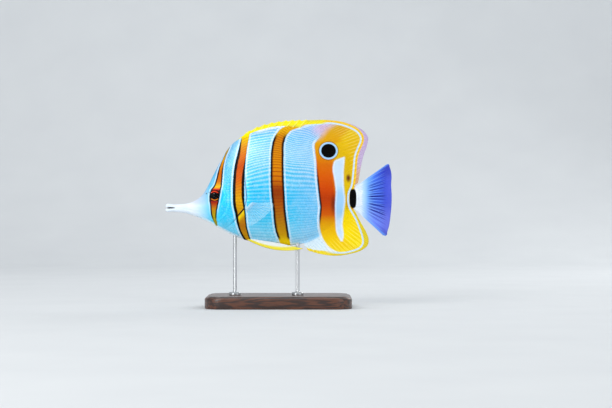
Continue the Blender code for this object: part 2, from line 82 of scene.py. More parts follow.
# Head
GILL_LINE = (  # height, then distance
    (-34, 16), (-20, 29), (-15.5, 36.5), (-12, 42), (-6.2, 47.8), (-1, 51.8), (4, 53.4), (15, 53),
    (30, 51.4), (46, 48), (62, 44),
)  # fmt: skip
GILL_STATION = 52.0  # the ring of skin that is bent to follow the gill line
GILL_BEND_FRONT, GILL_BEND_REAR = 24.0, 98.0
SLIT_ENDS = (-20, 24)
COVER_RISE = 0.45
COVER_DROP = 0.42
MOUTH_CORNER = (7.2, -0.45)
MOUTH_HALF_OPENING = (0.5, 0.07)  # at the tip and at the corner
LIP_ROUND = 1.1
JAW_MIDDLE, JAW_ABOVE_MIDDLE = 0.42, 0.58  # shares of a jaw's thickness
LINING_WIDTH, LINING_FILL = 0.86, 0.93  # shares of the jaw's width and of the opening
EYE_CENTRE = (32.8, 7.5)
EYE_OPENING = 3.1
EYE_RISE = 1.0
EYE_YAW = math.radians(9)
EYE_RIM_RISE, EYE_RIM_RADIUS, EYE_RIM_REACH = 0.32, 4.1, 0.9
EYE_SOCKET_DEPTH = 2.0
EYE_SOCKET_EDGE = (3.3, 2.4)  # radii between which it sinks
NOSTRILS = ((27.4, 8.9, 0.5), (29.2, 9.8, 0.4))  # distance, height, radius
NOSTRIL_RIM, NOSTRIL_DEPTH = 0.14, 0.45
CHEEK_RIDGE = ((43.5, 20), (42.2, 11), (42.6, 1), (40.4, -5), (36, -8.6), (30.5, -8.4))
RIDGE_RISE, RIDGE_REACH = 0.16, 0.6
RIDGE_HOLLOW_DEPTH, RIDGE_HOLLOW_AWAY, RIDGE_HOLLOW_REACH = 0.12, 1.1, 0.5
JAW_GROOVE = ((7.2, -0.45), (12, -1.0), (18, -2.2), (24, -3.8))
GROOVE_DEPTH, GROOVE_REACH = 0.14, 0.45
AXIL_RISE = 0.35  # the swelling that carries the pectoral fin
AXIL_RADII = (2.2, 3.4)
RING_POINTS = 192
MOUTH_POINTS = 40

# Markings: front and rear edges of the bands as (height, distance)
SLOPE_REACH = 0.2  # how far above and below a place an edge's slope is taken
EYE_BAND = {
    "front": ((-12, 33.3), (-6.9, 31.0), (-2.8, 30.2), (1.3, 29.9), (3.8, 29.5), (9.8, 29.8), (11.4, 30.3),
              (13.6, 32.0), (19, 34.0), (24.6, 35.3), (29, 36.9), (33, 38.6), (37.5, 40.6)),
    "rear": ((-12, 34.6), (-6.9, 34.1), (-2.8, 34.4), (1.3, 35.2), (3.8, 35.7), (9.8, 36.8), (11.4, 37.0),
             (13.6, 37.5), (19, 38.0), (24.6, 38.4), (29, 39.0), (33, 40.0), (37.5, 41.8)),
    "ends": (-12.3, 40),
}  # fmt: skip
GILL_BAND = {
    "front": ((-23, 52.9), (-17.3, 49.7), (-13.2, 48.2), (-3.6, 46.2), (1.3, 45.2), (8.1, 44.9), (17.7, 45.1),
              (24.6, 45.7), (37.9, 48.5), (47.5, 50.8)),
    "rear": ((-23, 56.9), (-12.4, 54.1), (-4.4, 53.4), (2, 52.7), (10, 52.5), (18, 52.6), (26, 53.0),
             (37.9, 54.1), (48.8, 55.9)),
    "ends": (-40, 70),
}  # fmt: skip
FLANK_BAND = {
    "front": ((-24, 75.8), (-20.9, 74.6), (-16.3, 73.0), (-8.7, 71.8), (-1.2, 71.2), (6.4, 70.3),
              (16.6, 69.7), (27.9, 69.7), (38.4, 70.2), (44.4, 71.4), (49, 73.8), (52.1, 76.9),
              (54.5, 81.5)),
    "rear": ((-24, 82.7), (-13.3, 81.0), (-1.2, 79.5), (7.9, 79.0), (18, 78.5), (33.8, 78.3), (43, 78.8),
             (48.1, 80.9), (51, 84.2), (52.5, 88.5), (54, 93)),
    "ends": (-40, 70),
}  # fmt: skip
REAR_ZONE = (
    (-31, 118), (-28.2, 111), (-26, 107.9), (-23, 105.5), (-17.3, 102.8), (-8.5, 101.7), (0.4, 102.2),
    (7.3, 101.4), (20, 100.1), (31.4, 99.5), (38, 98.7), (42.1, 98.8), (44.4, 100.6), (48.6, 103.6),
    (52.8, 107.3), (56, 112),
)  # fmt: skip
PALE_STREAK = {
    "front": ((-22.5, 115.8), (-17.3, 113.2), (-8.5, 112.2), (1, 111.9), (10.5, 112.4), (18, 111.5),
              (26.3, 110.4), (30, 111.2), (34, 112.5)),
    "rear": ((-22.5, 117.3), (-19, 117.9), (-11.6, 117.2), (-2.8, 118.1), (5.4, 118.9), (10.5, 118.3),
             (20, 117.8), (26.3, 118.1), (33, 118.8)),
    "ends": (-22.6, 40),
}  # fmt: skip
STREAK_TOP = (111.5, 30.8)  # a point of the streak's slanted top
STREAK_TOP_RISE = 0.4
STREAK_TOP_SQUARE = 0.92  # turns a height above the slant into a distance from it
STREAK_CORNER = 1.2
EYESPOT = (107.8, 37.2)
EYESPOT_RADIUS = 4.85
EYESPOT_FLATTENED = 1.06  # it is a little longer than high
EYESPOT_RING = 1.25  # width of the pale ring round it
STALK_SPOT = (123.9, 5.7)
STALK_SPOT_RADII = (2.3, 6.4)
STALK_SPOT_END = (126.8, 126.3)
STALK_MIDDLE = 5.8
GLOSS_PLAIN, GLOSS_ON_BLUE, GLOSS_OFF_BLACK = 0.1, 0.15, 0.09
FIN_LINE = (  # the pale line inside the rear margins of the soft dorsal and anal fins
    (88, 53.5), (95, 54.1), (101, 54.8), (107.7, 55.6), (114.7, 54.8), (121, 52.9), (126.1, 50.2),
    (128.9, 46.6), (128.9, 43.2),
    (126.9, 38.6), (125.2, 33.4), (124.5, 26.3), (123.8, 19), (122.9, 13.8), (121.1, 9.8), (120.6, 5.4),
    (121.2, 1), (122.9, -2.8), (125.5, -7.2), (128.6, -14.6), (130.4, -20.4), (130.4, -24.2),
    (128.2, -27), (123.5, -28.9), (117.2, -30.1), (108.3, -29.8), (100, -28.8),
)  # fmt: skip
LATERAL_LINE = (
    (50, 21), (54, 27), (60, 33.5), (70, 39.5), (80, 42), (92, 40), (104, 32.5), (112, 23.5),
    (119, 13), (126, 8),
)  # fmt: skip
FAR_FROM_RIM = 50.0  # for places that are on no fin
STRIP_EDGE = ((45, 43), (55.3, 48.2), (60.4, 50.3), (65.5, 51.7), (76.6, 54.2), (90, 54.6), (108, 55.2))

# Scales
ROW_STEP = 2.1
ROWS_BOTTOM, ROWS_MIDDLE, ROWS_TOP = -25.2, 6, 54.2  # heights of the body's lowest, middle and top rows
ROW_NUMBERS = (-44, 70)
SCALED_LENGTH = (37.0, 129)
SCALED_HEIGHT = (-34, 62)
SCALED_FIN_FEET = (93, 122.5)
SLIT_CLEARANCE = (0.9, 1.3)  # no scale has its middle this far behind the edge of the gill cover
COLUMN_STEPS = ((36, 1.0), (46, 1.35), (60, 1.7), (88, 1.7), (108, 1.35), (130, 1.05))
ROW_LENGTH = 2.2  # scale length in column steps
SCALE_GRID = (5, 4)  # quads along and across
SCALE_LIFT = 0.23
SCALE_SLOPE_REACH = 0.15  # how far either way the flank's slope is taken
FIN_SCALE_REACH = 11.0  # how far scales climb the soft fins
FIN_RIM_FREE = 2.2  # how far they keep from the fins' margins
EYE_CLEARANCE = 6.4
TAIL_CLEARANCE = 127.5
SCALE_JITTER = 0.05
LINE_TUBE_RISE = 0.14  # the small tube on each scale of the lateral line
BAKE_PATCH = 0.003
SEED = 7

# Fins, as in the solids: (share, distance, height)
SPINY_ROOT = (50.8, 90.6)
SPINY_MARGIN = (
    (0, 52.2, 48.6), (0.15, 59.5, 52.3), (0.35, 68.5, 55.3), (0.6, 79, 57), (1, 95.2, 57.6),
)  # fmt: skip
SOFT_DORSAL_ROOT = (89.4, 124.6)
SOFT_DORSAL_MARGIN = (
    (0, 93.8, 57.6), (0.2, 108, 57.6), (0.35, 118.5, 56.1), (0.48, 126.1, 53.4), (0.58, 131.6, 49.8),
    (0.65, 134, 45.8), (0.72, 133.3, 41), (0.82, 130.8, 33.5), (0.92, 128.8, 24), (1, 127.3, 16),
)  # fmt: skip
ANAL_ROOT = (91.4, 123.4)
ANAL_MARGIN = (
    (0, 94.2, -28.6), (0.15, 103, -31.1), (0.3, 112, -32.1), (0.45, 121, -31.1), (0.58, 129.5, -28.6),
    (0.66, 133.5, -25.6), (0.74, 134.4, -21.3), (0.82, 132.7, -16.3), (0.92, 128.8, -9.3), (1, 125.8, -3.4),
)  # fmt: skip
TAIL_ROOT = (123.6, 12.2, 0.3)  # distance, then the heights of its ends
TAIL_MARGIN = (
    (0, 146.2, 28.3), (0.018, 147.6, 28.6), (0.05, 148.5, 26.4), (0.3, 149.4, 14), (0.5, 149.7, 6.4),
    (0.7, 149.2, -3.5), (0.93, 147, -15.8), (0.98, 145.8, -18.9), (1, 144.0, -18.7),
)  # fmt: skip
TAIL_SWEEP = 2.6
FIN_WAVE = 0.7
FIN_WAVE_LENGTH = 6.2
FIN_DEPTH = 22
FIN_SHEATH = 1.15
SHEATH_REACH = 5.5
SHEATH_TAPER = 0.02  # how fast the fin thins inside the body
FIN_MEMBRANE = 0.12
FIN_RAY_RIDGE = 0.2
SPINE_CREST = 1.5
SPINY_RAYS, SOFT_DORSAL_RAYS, ANAL_RAYS, ANAL_SPINES = 9, 29, 22, 3
TAIL_RAYS, PECTORAL_RAYS, PELVIC_RAYS = 17, 14, 6
PECTORAL_BASE = (55.2, 1.2)
PECTORAL_BASE_HALF = 2.7
PECTORAL_LENGTH = 22.6
PECTORAL_FAN = math.radians(64)
PECTORAL_DROOP = math.radians(42)
PECTORAL_FLARE = math.radians(46)
PELVIC_ROOT = ((54.2, -21.5), (58.6, -21.2))
PELVIC_TIP = ((91.0, -27.4), (76.0, -23.9))
PELVIC_BOW = 3.6
PELVIC_ROOT_SPREAD = (1.5, 3.0)
PELVIC_TIP_SPREAD = (2.7, 3.5)

# Stand and studio
BASE_SIZE = (96, 60, 8)
BASE_CORNER = 12
BASE_CORNER_STEPS = 10
BASE_SHOULDER = 2.2  # where the block's rounded top edge begins, below its top
ROD_RADIUS = 1.25
ROD_INTO_BELLY = 1.2
ROD_FOOT_RADIUS = 4.0
ROD_FOOT_HEIGHT = 1.9
ROD_FILLET = 0.9
ROD_SIDES = 48
RODS = (("front", 46.0), ("rear", 87.4))
CAMERA_DISTANCE = 1.2
PIXEL = 0.000661  # metres on the fish's midplane for one pixel of the photo
PHOTO_WIDTH = 612
SENSOR = 36
CAMERA_ACROSS, CAMERA_UP = 0.018, 0.0681
LAMPS = (  # name, place, size, watts, colour
    ("key", (-0.6, -0.9, 0.75), 0.7, 6.0, (1.0, 0.98, 0.95)),
    ("fill", (0.9, -0.8, 0.4), 0.8, 2.5, (0.93, 0.97, 1.0)),
    ("top", (0.05, 0.1, 1.1), 0.8, 1.7, (1.0, 1.0, 1.0)),
    ("low", (-0.75, -0.95, 0.22), 0.4, 3.0, (1.0, 1.0, 1.0)),
    ("backdrop", (0.0, 0.35, 1.5), 1.0, 5, (1.0, 1.0, 1.0)),
    ("rim", (0.7, 0.65, 0.5), 0.5, 2.6, (1.0, 0.99, 0.97)),
)
LAMP_AIM, BACKDROP_AIM = (0, 0, 0.075), (0, 1.2, 0.35)
PAPER_HALF_WIDTH, PAPER_FRONT, PAPER_BEND, PAPER_BACK, PAPER_TOP = 5.0, -5.0, 0.6, 1.35, 3.2
AIR_COLOUR, AIR_STRENGTH = (0.94, 0.96, 1.0, 1), 0.62


# Curves and the form of the fish


def through(points, column=1):
    """A smooth function of the points' first column that passes through their given column."""
    table = np.array(points, float)
    x, y = table[:, 0], table[:, column]
    span = np.diff(x)
    rise = np.diff(y) / span
    slope = np.empty(len(x))
    slope[0], slope[-1] = rise[0], rise[-1]
    slope[1:-1] = (span[1:] * rise[:-1] + span[:-1] * rise[1:]) / (span[1:] + span[:-1])

    def value(at):
        at = np.asarray(at, float)
        i = np.clip(np.searchsorted(x, at) - 1, 0, len(x) - 2)
        t = (at - x[i]) / span[i]
        from_start = y[i] * (1 + 2 * t) * (1 - t) ** 2 + slope[i] * span[i] * t * (1 - t) ** 2
        to_end = y[i + 1] * (3 - 2 * t) * t**2 + slope[i + 1] * span[i] * (t - 1) * t**2
        beyond = np.where(at > x[-1], y[-1] + slope[-1] * (at - x[-1]), y[0] + slope[0] * (at - x[0]))
        return np.where((at < x[0]) | (at > x[-1]), beyond, from_start + to_end)

    return value


def ease(value, start, end):
    """0 before start and 1 after end, or the other way round where start is the larger."""
    t = np.clip((value - start) / (end - start), 0, 1)
    return t * t * (3 - 2 * t)


def bulge(value, centre, reach):
    """A soft swelling: 1 where the value is at the centre, falling away over its reach."""
    return np.exp(-(((value - centre) / reach) ** 2))


back_height = through(BACK_LINE)
belly_height = through(BELLY_LINE)
half_width = through(HALF_WIDTH)
widest_level = through(WIDEST_LEVEL)
sharpness = through(SECTION_SHARPNESS)
gill_distance = through(GILL_LINE)
strip_edge = through(STRIP_EDGE)
lateral_line = through(LATERAL_LINE)
column_step = through(COLUMN_STEPS)


def section(distance, turn):
    """Out and height of a point of the body's cross-section, as in the solids."""
    middle = widest_level(distance)
    rounding = np.sqrt(1 - (1 - np.clip(distance / NOSE_ROUND, 0, 1)) ** 2)
    edge = np.where(turn > 0, back_height(distance), belly_height(distance))
    height = middle + np.abs(np.sin(turn)) * (edge - middle) * rounding
    out = half_width(distance) * rounding * np.maximum(np.cos(turn), 0) ** sharpness(distance)
    return out, height


def body_out(distance, height):
    """Half the bare body's width at a point in side view."""
    middle = widest_level(distance)
    edge = np.where(height > middle, back_height(distance), belly_height(distance))
    share = np.clip(np.abs((height - middle) / (edge - middle)), 0, 1)
    return section(distance, np.arcsin(share))[0]


def path_distance(points, distance, height):
    """How far each place is from a path in side view, and on which side of it, as -1 or 1."""
    path = np.array(points, float)
    nearest = np.full(np.shape(distance), np.inf)
    side = np.ones(np.shape(distance))
    for (x0, z0), (x1, z1) in zip(path, path[1:]):
        along, up = x1 - x0, z1 - z0
        from_x, from_z = distance - x0, height - z0
        t = np.clip((from_x * along + from_z * up) / (along**2 + up**2), 0, 1)
        away = np.hypot(from_x - t * along, from_z - t * up)
        closer = away < nearest
        side = np.where(closer, np.where(along * from_z - up * from_x > 0, 1, -1), side)
        nearest = np.where(closer, away, nearest)
    return nearest, side


def smooth_path(points, steps=4):
    along = [(i, *point) for i, point in enumerate(points)]
    at = np.linspace(0, len(points) - 1, steps * (len(points) - 1) + 1)
    return np.stack([through(along)(at), through(along, 2)(at)], axis=1)


def relief(distance, height):
    """How far the skin of the head stands out of, or lies below, the plain form."""
    behind_gill = distance - gill_distance(height)
    cover = ease(height, 25, 17) * ease(height, -15, -8)
    plate = COVER_RISE * ease(behind_gill, -15, -1.5) * (1 - 0.35 * ease(behind_gill, -0.5, 0))
    slit = -COVER_DROP * np.exp(-np.maximum(behind_gill, 0) / 1.3)
    total = cover * np.where(behind_gill < 0, plate, slit)

    eye_x, eye_z = EYE_CENTRE
    from_eye = np.hypot(distance - eye_x, height - eye_z)
    rim = EYE_RIM_RISE * bulge(from_eye, EYE_RIM_RADIUS, EYE_RIM_REACH)
    total += rim - EYE_SOCKET_DEPTH * ease(from_eye, *EYE_SOCKET_EDGE)

    from_ridge, _ = path_distance(CHEEK_RIDGE, distance, height)
    ridge = RIDGE_RISE * bulge(from_ridge, 0, RIDGE_REACH)
    total += ridge - RIDGE_HOLLOW_DEPTH * bulge(from_ridge, RIDGE_HOLLOW_AWAY, RIDGE_HOLLOW_REACH)
    from_groove, _ = path_distance(JAW_GROOVE, distance, height)
    total -= GROOVE_DEPTH * bulge(from_groove, 0, GROOVE_REACH) * ease(distance, 26, 20)
    for x, z, radius in NOSTRILS:
        away = np.hypot(distance - x, height - z)
        rim = NOSTRIL_RIM * bulge(away, 1.5 * radius, 0.3)
        total += rim - NOSTRIL_DEPTH * ease(away, radius, 0.3 * radius)
    axil_x = (distance - PECTORAL_BASE[0]) / AXIL_RADII[0]
    axil_z = (height - PECTORAL_BASE[1]) / AXIL_RADII[1]
    return total + AXIL_RISE * bulge(np.hypot(axil_x, axil_z), 0, 1)


def fin_overhang(distance, height):
    """How far a place is above the back or below the belly, in side view."""
    return np.maximum(height - back_height(distance), belly_height(distance) - height)


def fin_half(distance, height):
    """Half the thickness of a soft fin, with the scaled sheath at its foot."""
    overhang = np.maximum(fin_overhang(distance, height), -3)
    sheath = FIN_SHEATH * np.exp(-np.maximum(overhang, 0) / SHEATH_REACH)
    return FIN_MEMBRANE + sheath - SHEATH_TAPER * np.maximum(-overhang, 0)


def fin_middle(distance, height):
    """Sideways place of a soft fin's middle, which ripples more towards the margin."""
    overhang = np.clip(fin_overhang(distance, height) / FIN_DEPTH, 0, 1.2)
    return FIN_WAVE * np.sin((distance + 0.35 * height) / FIN_WAVE_LENGTH) * overhang**2


def flank(distance, height):
    """Out of the finished surface of the body with the feet of its soft fins."""
    body = body_out(distance, height) + relief(distance, height)
    finned = (distance > SOFT_DORSAL_ROOT[0] - 0.5) & (distance < SOFT_DORSAL_ROOT[1] + 3)
    foot = np.where(finned, fin_half(distance, height), 0.05)
    return (np.maximum(body, 0) ** 4 + foot**4) ** 0.25


# Markings


def behind_edge(edge, distance, height):
    """How far each place is behind an edge given as (height, distance), taken square to it."""
    line = through(edge)
    slope = (line(height + SLOPE_REACH) - line(height - SLOPE_REACH)) / (2 * SLOPE_REACH)
    return (distance - line(height)) / np.hypot(1, slope)


def band_distance(band, distance, height):
    """Signed distance to a band's edges, negative inside it."""
    inside = -behind_edge(band["front"], distance, height), behind_edge(band["rear"], distance, height)
    low, high = band["ends"]
    return np.maximum(np.maximum(*inside), np.maximum(low - height, height - high)), *inside


def bar_distance(centre, radii, distance, height):
    """Signed distance to the rim of an upright bar with rounded ends."""
    across, up = np.abs(distance - centre[0]) / radii[0], np.abs(height - centre[1]) / radii[1]
    return (np.cbrt(across**3 + up**3) - 1) * min(radii)


def fin_limit(distance):
    """How far scales may climb a soft fin: to its scaled part, and never to its margin."""
    shares = np.linspace(0, 1, 60)
    reach = []
    for edge, points, sign in ((back_height, SOFT_DORSAL_MARGIN, 1), (belly_height, ANAL_MARGIN, -1)):
        across, up = through(points)(shares), through(points, 2)(shares)
        rear = int(np.argmax(across))
        up = np.interp(distance, across[: rear + 1], up[: rear + 1])
        reach.append(sign * (up - edge(distance)) - FIN_RIM_FREE)
    return [np.minimum(room, FIN_SCALE_REACH) for room in reach]


def row_level(distance, height):
    """A level that is the same all along one row of scales."""
    back, belly = back_height(distance), belly_height(distance)
    upper = ease(height, 10, 46)
    lower = ease(height, -4, -26)
    level = height - 0.72 * upper * (back - ROWS_TOP) - 0.55 * lower * (belly - ROWS_BOTTOM)
    rising = 7.5 * (1 - np.exp(-np.maximum(distance - 47, 0) / 14))
    level = level - rising * bulge(height, 27, 13)
    level = level + 0.45 * (np.maximum(height - back, 0) - np.maximum(belly - height, 0))
    closer = 1 + 0.2 * ease(distance, 70, 88) + 0.4 * ease(distance, 92, 126)
    return ROWS_MIDDLE + (level - ROWS_MIDDLE) * closer * (1 + 0.5 * ease(distance, 52, 36))


def marks(distance, height, rim=None):
    """The vertex attributes that the markings are painted from, each of up to three distances."""
    eye_band = band_distance(EYE_BAND, distance, height)[0]
    gill_band, gill_front, gill_rear = band_distance(GILL_BAND, distance, height)
    flank_band = band_distance(FLANK_BAND, distance, height)[0]
    rear_zone = -behind_edge(REAR_ZONE, distance, height)
    streak = band_distance(PALE_STREAK, distance, height)[0]
    top = STREAK_TOP_SQUARE * (height - STREAK_TOP[1] - STREAK_TOP_RISE * (distance - STREAK_TOP[0]))
    in_corner = (streak > -STREAK_CORNER) & (top > -STREAK_CORNER)
    rounded = np.hypot(streak + STREAK_CORNER, top + STREAK_CORNER) - STREAK_CORNER
    streak = np.where(in_corner, rounded, np.maximum(streak, top))
    spot = np.hypot(distance - EYESPOT[0], (height - EYESPOT[1]) * EYESPOT_FLATTENED) - EYESPOT_RADIUS
    line, side = path_distance(smooth_path(FIN_LINE), distance, height)
    stalk = bar_distance(STALK_SPOT, STALK_SPOT_RADII, distance, height)
    strip = height - strip_edge(distance)
    keel = height - belly_height(distance)
    rim = np.full(np.shape(distance), FAR_FROM_RIM) if rim is None else rim
    return {
        "bands": (eye_band, gill_band, flank_band),
        "gill_edges": (gill_front, gill_rear, rim),
        "rear": (rear_zone, streak, spot),
        "edges": (line * side, stalk, strip),
        "place": (distance, height, keel),
        "rows": (row_level(distance, height) / ROW_STEP, fin_overhang(distance, height)),
    }


# Meshes


def to_world(distance, out, height):
    """Metres in the shared frame; out is negative on the fish's left."""
    return np.stack([SNOUT_TIP + distance * MM, out * MM, MOUTH_LINE + height * MM], axis=-1)


def make_mesh(name, points, faces, fields=None, sharp=None):
    mesh = bpy.data.meshes.new(name)
    mesh.from_pydata(points.reshape(-1, 3).tolist(), [], faces)
    mesh.validate()
    for field, values in (fields or {}).items():
        triple = np.zeros((len(mesh.vertices), 3), np.float32)
        for column, value in enumerate(values):
            triple[:, column] = np.ravel(value)
        attribute = mesh.attributes.new(field, "FLOAT_VECTOR", "POINT")
        attribute.data.foreach_set("vector", triple.ravel())
    mesh.shade_smooth()
    if sharp:
        mesh.set_sharp_from_angle(angle=math.radians(sharp))
    obj = bpy.data.objects.new(name, mesh)
    bpy.context.scene.collection.objects.link(obj)
    return obj


def grid_faces(index, wrap=False, flip=False):
    """Quads over a grid of vertex numbers, closed round its columns where wrap is set."""
    if wrap:
        index = np.concatenate([index, index[:, :1]], axis=1)
    quads = np.stack([index[:-1, :-1], index[:-1, 1:], index[1:, 1:], index[1:, :-1]], axis=-1).reshape(-1, 4)
    return (quads[:, ::-1] if flip else quads).tolist()


def finish_piece(obj, material, slot, *replaced):
    obj.data.materials.append(material)
    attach(obj, "root")
    if replaced:
        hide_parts(*replaced)
    return obj


# Skin


def skin_stations():
    """Rings of skin, closest together at the nostrils, round the eye and at the edge of the gill cover."""
    edge = GILL_STATION + np.array((-0.9, -0.5, -0.25, -0.1, -0.03, -0.004, 0.004, 0.12, 0.3, 0.6, 1.0))
    return np.concatenate([
        np.linspace(MOUTH_CORNER[0], 26.2, 44, endpoint=False), np.linspace(26.2, 30, 26, endpoint=False),
        np.linspace(30, 38, 34, endpoint=False), np.linspace(38, 50.6, 30, endpoint=False), edge,
        np.linspace(53.6, 120, 62, endpoint=False), np.linspace(120, SKIN_END, 18),
    ])  # fmt: skip


def bent_to_gills(stations, turns):
    """Distances of the grid's points, with the gill station's ring laid along the gill line."""
    crossing = np.full(turns.shape, GILL_STATION)
    for _ in range(30):
        height = section(crossing, turns)[1]
        crossing = 0.5 * crossing + 0.5 * gill_distance(height)
    bend = np.where(
        stations < GILL_STATION,
        np.clip((stations - GILL_BEND_FRONT) / (GILL_STATION - GILL_BEND_FRONT), 0, 1) ** 1.2,
        np.clip((GILL_BEND_REAR - stations) / (GILL_BEND_REAR - GILL_STATION), 0, 1) ** 1.2,
    )
    return stations[:, None] + bend[:, None] * (crossing - GILL_STATION)[None, :]


def jaw_rings(upper, corner_ring, mouth_line):
    """Rings of one jaw from its tip back to the corner of the mouth: distance, out, height."""
    tip = np.array((0.02, 0.07, 0.16, 0.3, 0.48, 0.7, 1.0))
    distances = np.concatenate([tip, np.linspace(1.3, MOUTH_CORNER[0], 26, endpoint=False)])
    around = len(corner_ring[0]) + MOUTH_POINTS
    turn = np.linspace(math.pi, 0, len(corner_ring[0]))
    inner = np.linspace(1, -1, MOUTH_POINTS + 2)[1:-1]
    rings = []
    for distance in distances:
        share = distance / MOUTH_CORNER[0]
        opening = MOUTH_HALF_OPENING[0] + (MOUTH_HALF_OPENING[1] - MOUTH_HALF_OPENING[0]) * share**4
        rounding = math.sqrt(1 - (1 - min(distance / LIP_ROUND, 1)) ** 2)
        far = float(back_height(distance) if upper else belly_height(distance)) - MOUTH_CORNER[1]
        thick = abs(far) - opening
        wide = float(half_width(distance)) * (0.35 + 0.65 * rounding)
        # Both jaws are worked out as an upper one, and the lower is turned over.
        middle = opening + JAW_MIDDLE * thick
        lip = 0.16 * thick * (1 - share)
        top = middle + JAW_ABOVE_MIDDLE * thick * rounding * np.sin(turn) ** 0.9
        side_drop = (middle - opening) * (1 - np.abs(np.sin(turn))) ** 3 * (1 - lip)
        outer_height = top - side_drop * rounding
        outer_wide = wide * np.cos(turn) * (1 - 0.1 * (1 - np.abs(np.sin(turn))) ** 6)
        under = middle - (middle - opening) * rounding
        # The lining bulges between the jaws, so that the mouth is not seen through; the skin's paint puts
        # painted shade on it, which makes the mouth dark
        under = under - LINING_FILL * opening * ease(1 - np.abs(inner), 0.2, 0.55) * ease(distance, 0.7, 2.2)
        out = np.concatenate([outer_wide, wide * LINING_WIDTH * inner])
        height = np.concatenate([outer_height, under])
        height = MOUTH_CORNER[1] + (height if upper else -height)
        out = out if upper else -out
        corner = ease(share, 0.78, 1.0)
        ring_out = np.concatenate([corner_ring[1], mouth_line])
        ring_height = np.concatenate([corner_ring[2], np.full(MOUTH_POINTS, MOUTH_CORNER[1])])
        rings.append((
            np.full(around, distance),
            out + (ring_out - out) * corner,
            height + (ring_height - height) * corner,
        ))  # fmt: skip
    return rings


def make_skin(material):
    """One skin from the lips to the foot of the tail fin, with mouth, nostrils, eye rims and slits."""
    stations = skin_stations()
    turns = np.linspace(-math.pi / 2, 1.5 * math.pi, RING_POINTS, endpoint=False)
    left = turns < math.pi / 2
    folded = np.where(left, turns, math.pi - turns)
    distance = bent_to_gills(stations, folded)
    out, height = section(distance, folded[None, :].repeat(len(stations), 0))
    out = out + relief(distance, height) * ease(out, 0.2, 1.5)
    out = np.where(left, -out, out)

    quarter = RING_POINTS // 4
    top = np.arange(quarter, 3 * quarter + 1)
    bottom = np.arange(3 * quarter, 5 * quarter + 1) % RING_POINTS
    verts = [np.stack([distance, out, height], axis=-1).reshape(-1, 3)]
    main = np.arange(distance.size).reshape(distance.shape)
    count = distance.size
    faces = grid_faces(main, wrap=True, flip=True)
    faces.append(main[-1].tolist())

    # The mouth's closing line, shared by both jaws at the corner of the mouth
    side = out[0, 3 * quarter]
    line = np.linspace(side, -side, MOUTH_POINTS + 2)[1:-1]
    corner_line = np.arange(count, count + MOUTH_POINTS)
    corner_x, corner_z = (np.full(MOUTH_POINTS, place) for place in MOUTH_CORNER)
    verts.append(np.stack([corner_x, line, corner_z], axis=-1))
    count += MOUTH_POINTS
    inside_mouth = [np.zeros(main.size), np.ones(MOUTH_POINTS)]
    for upper, arc, closing in ((True, top, corner_line), (False, bottom, corner_line[::-1])):
        corner_ring = (distance[0, arc], out[0, arc], height[0, arc])
        rings = jaw_rings(upper, corner_ring, line if upper else line[::-1])
        grid = np.stack([np.stack(ring, axis=-1) for ring in rings])
        verts.append(grid.reshape(-1, 3))
        in_jaw = np.zeros(grid.shape[:2])
        in_jaw[:, len(arc) + 1 : -1] = ease(grid[:, :1, 0], 0.4, 1.8)
        inside_mouth.append(in_jaw.ravel())
        index = np.arange(count, count + grid.shape[0] * grid.shape[1]).reshape(grid.shape[:2])
        count += index.size
        index = np.concatenate([index, np.concatenate([main[0, arc], closing])[None, :]])
        faces += grid_faces(index, wrap=True, flip=True)
        faces.append(index[0].tolist())
    points = np.concatenate(verts)
    x, y, z = points.T
    fields = marks(x, z)
    # Painted shade for the hollows: the mouth's lining, the nostril pits and the strip just behind the edge
    # of the gill cover
    mouth = np.concatenate(inside_mouth)
    pits = sum(ease(np.hypot(x - nx, z - nz), 1.1 * radius, 0.5 * radius) for nx, nz, radius in NOSTRILS)
    # Painted shade in the gill slit, strongest at the edge of the gill cover and fading behind it
    slit = np.where(x > gill_distance(z), np.exp(-np.maximum(x - gill_distance(z), 0) / 0.5), 0)
    slit *= ease(z, 25, 17) * ease(z, -13, -7)
    fields["hollow_shade"] = (mouth, np.clip(pits, 0, 1), slit)
    skin = make_mesh("skin", to_world(x, y, z), faces, fields, sharp=55)
    recalc_outside(skin)
    flesh = ("snout", "lower_jaw", "head", "gill_cover_left", "gill_cover_right", "trunk", "tail_stalk")
    return finish_piece(skin, material, "body_skin", *flesh)


def recalc_outside(obj):
    bm = bmesh.new()
    bm.from_mesh(obj.data)
    bmesh.ops.recalc_face_normals(bm, faces=bm.faces)
    bm.to_mesh(obj.data)
    bm.free()


# Scales


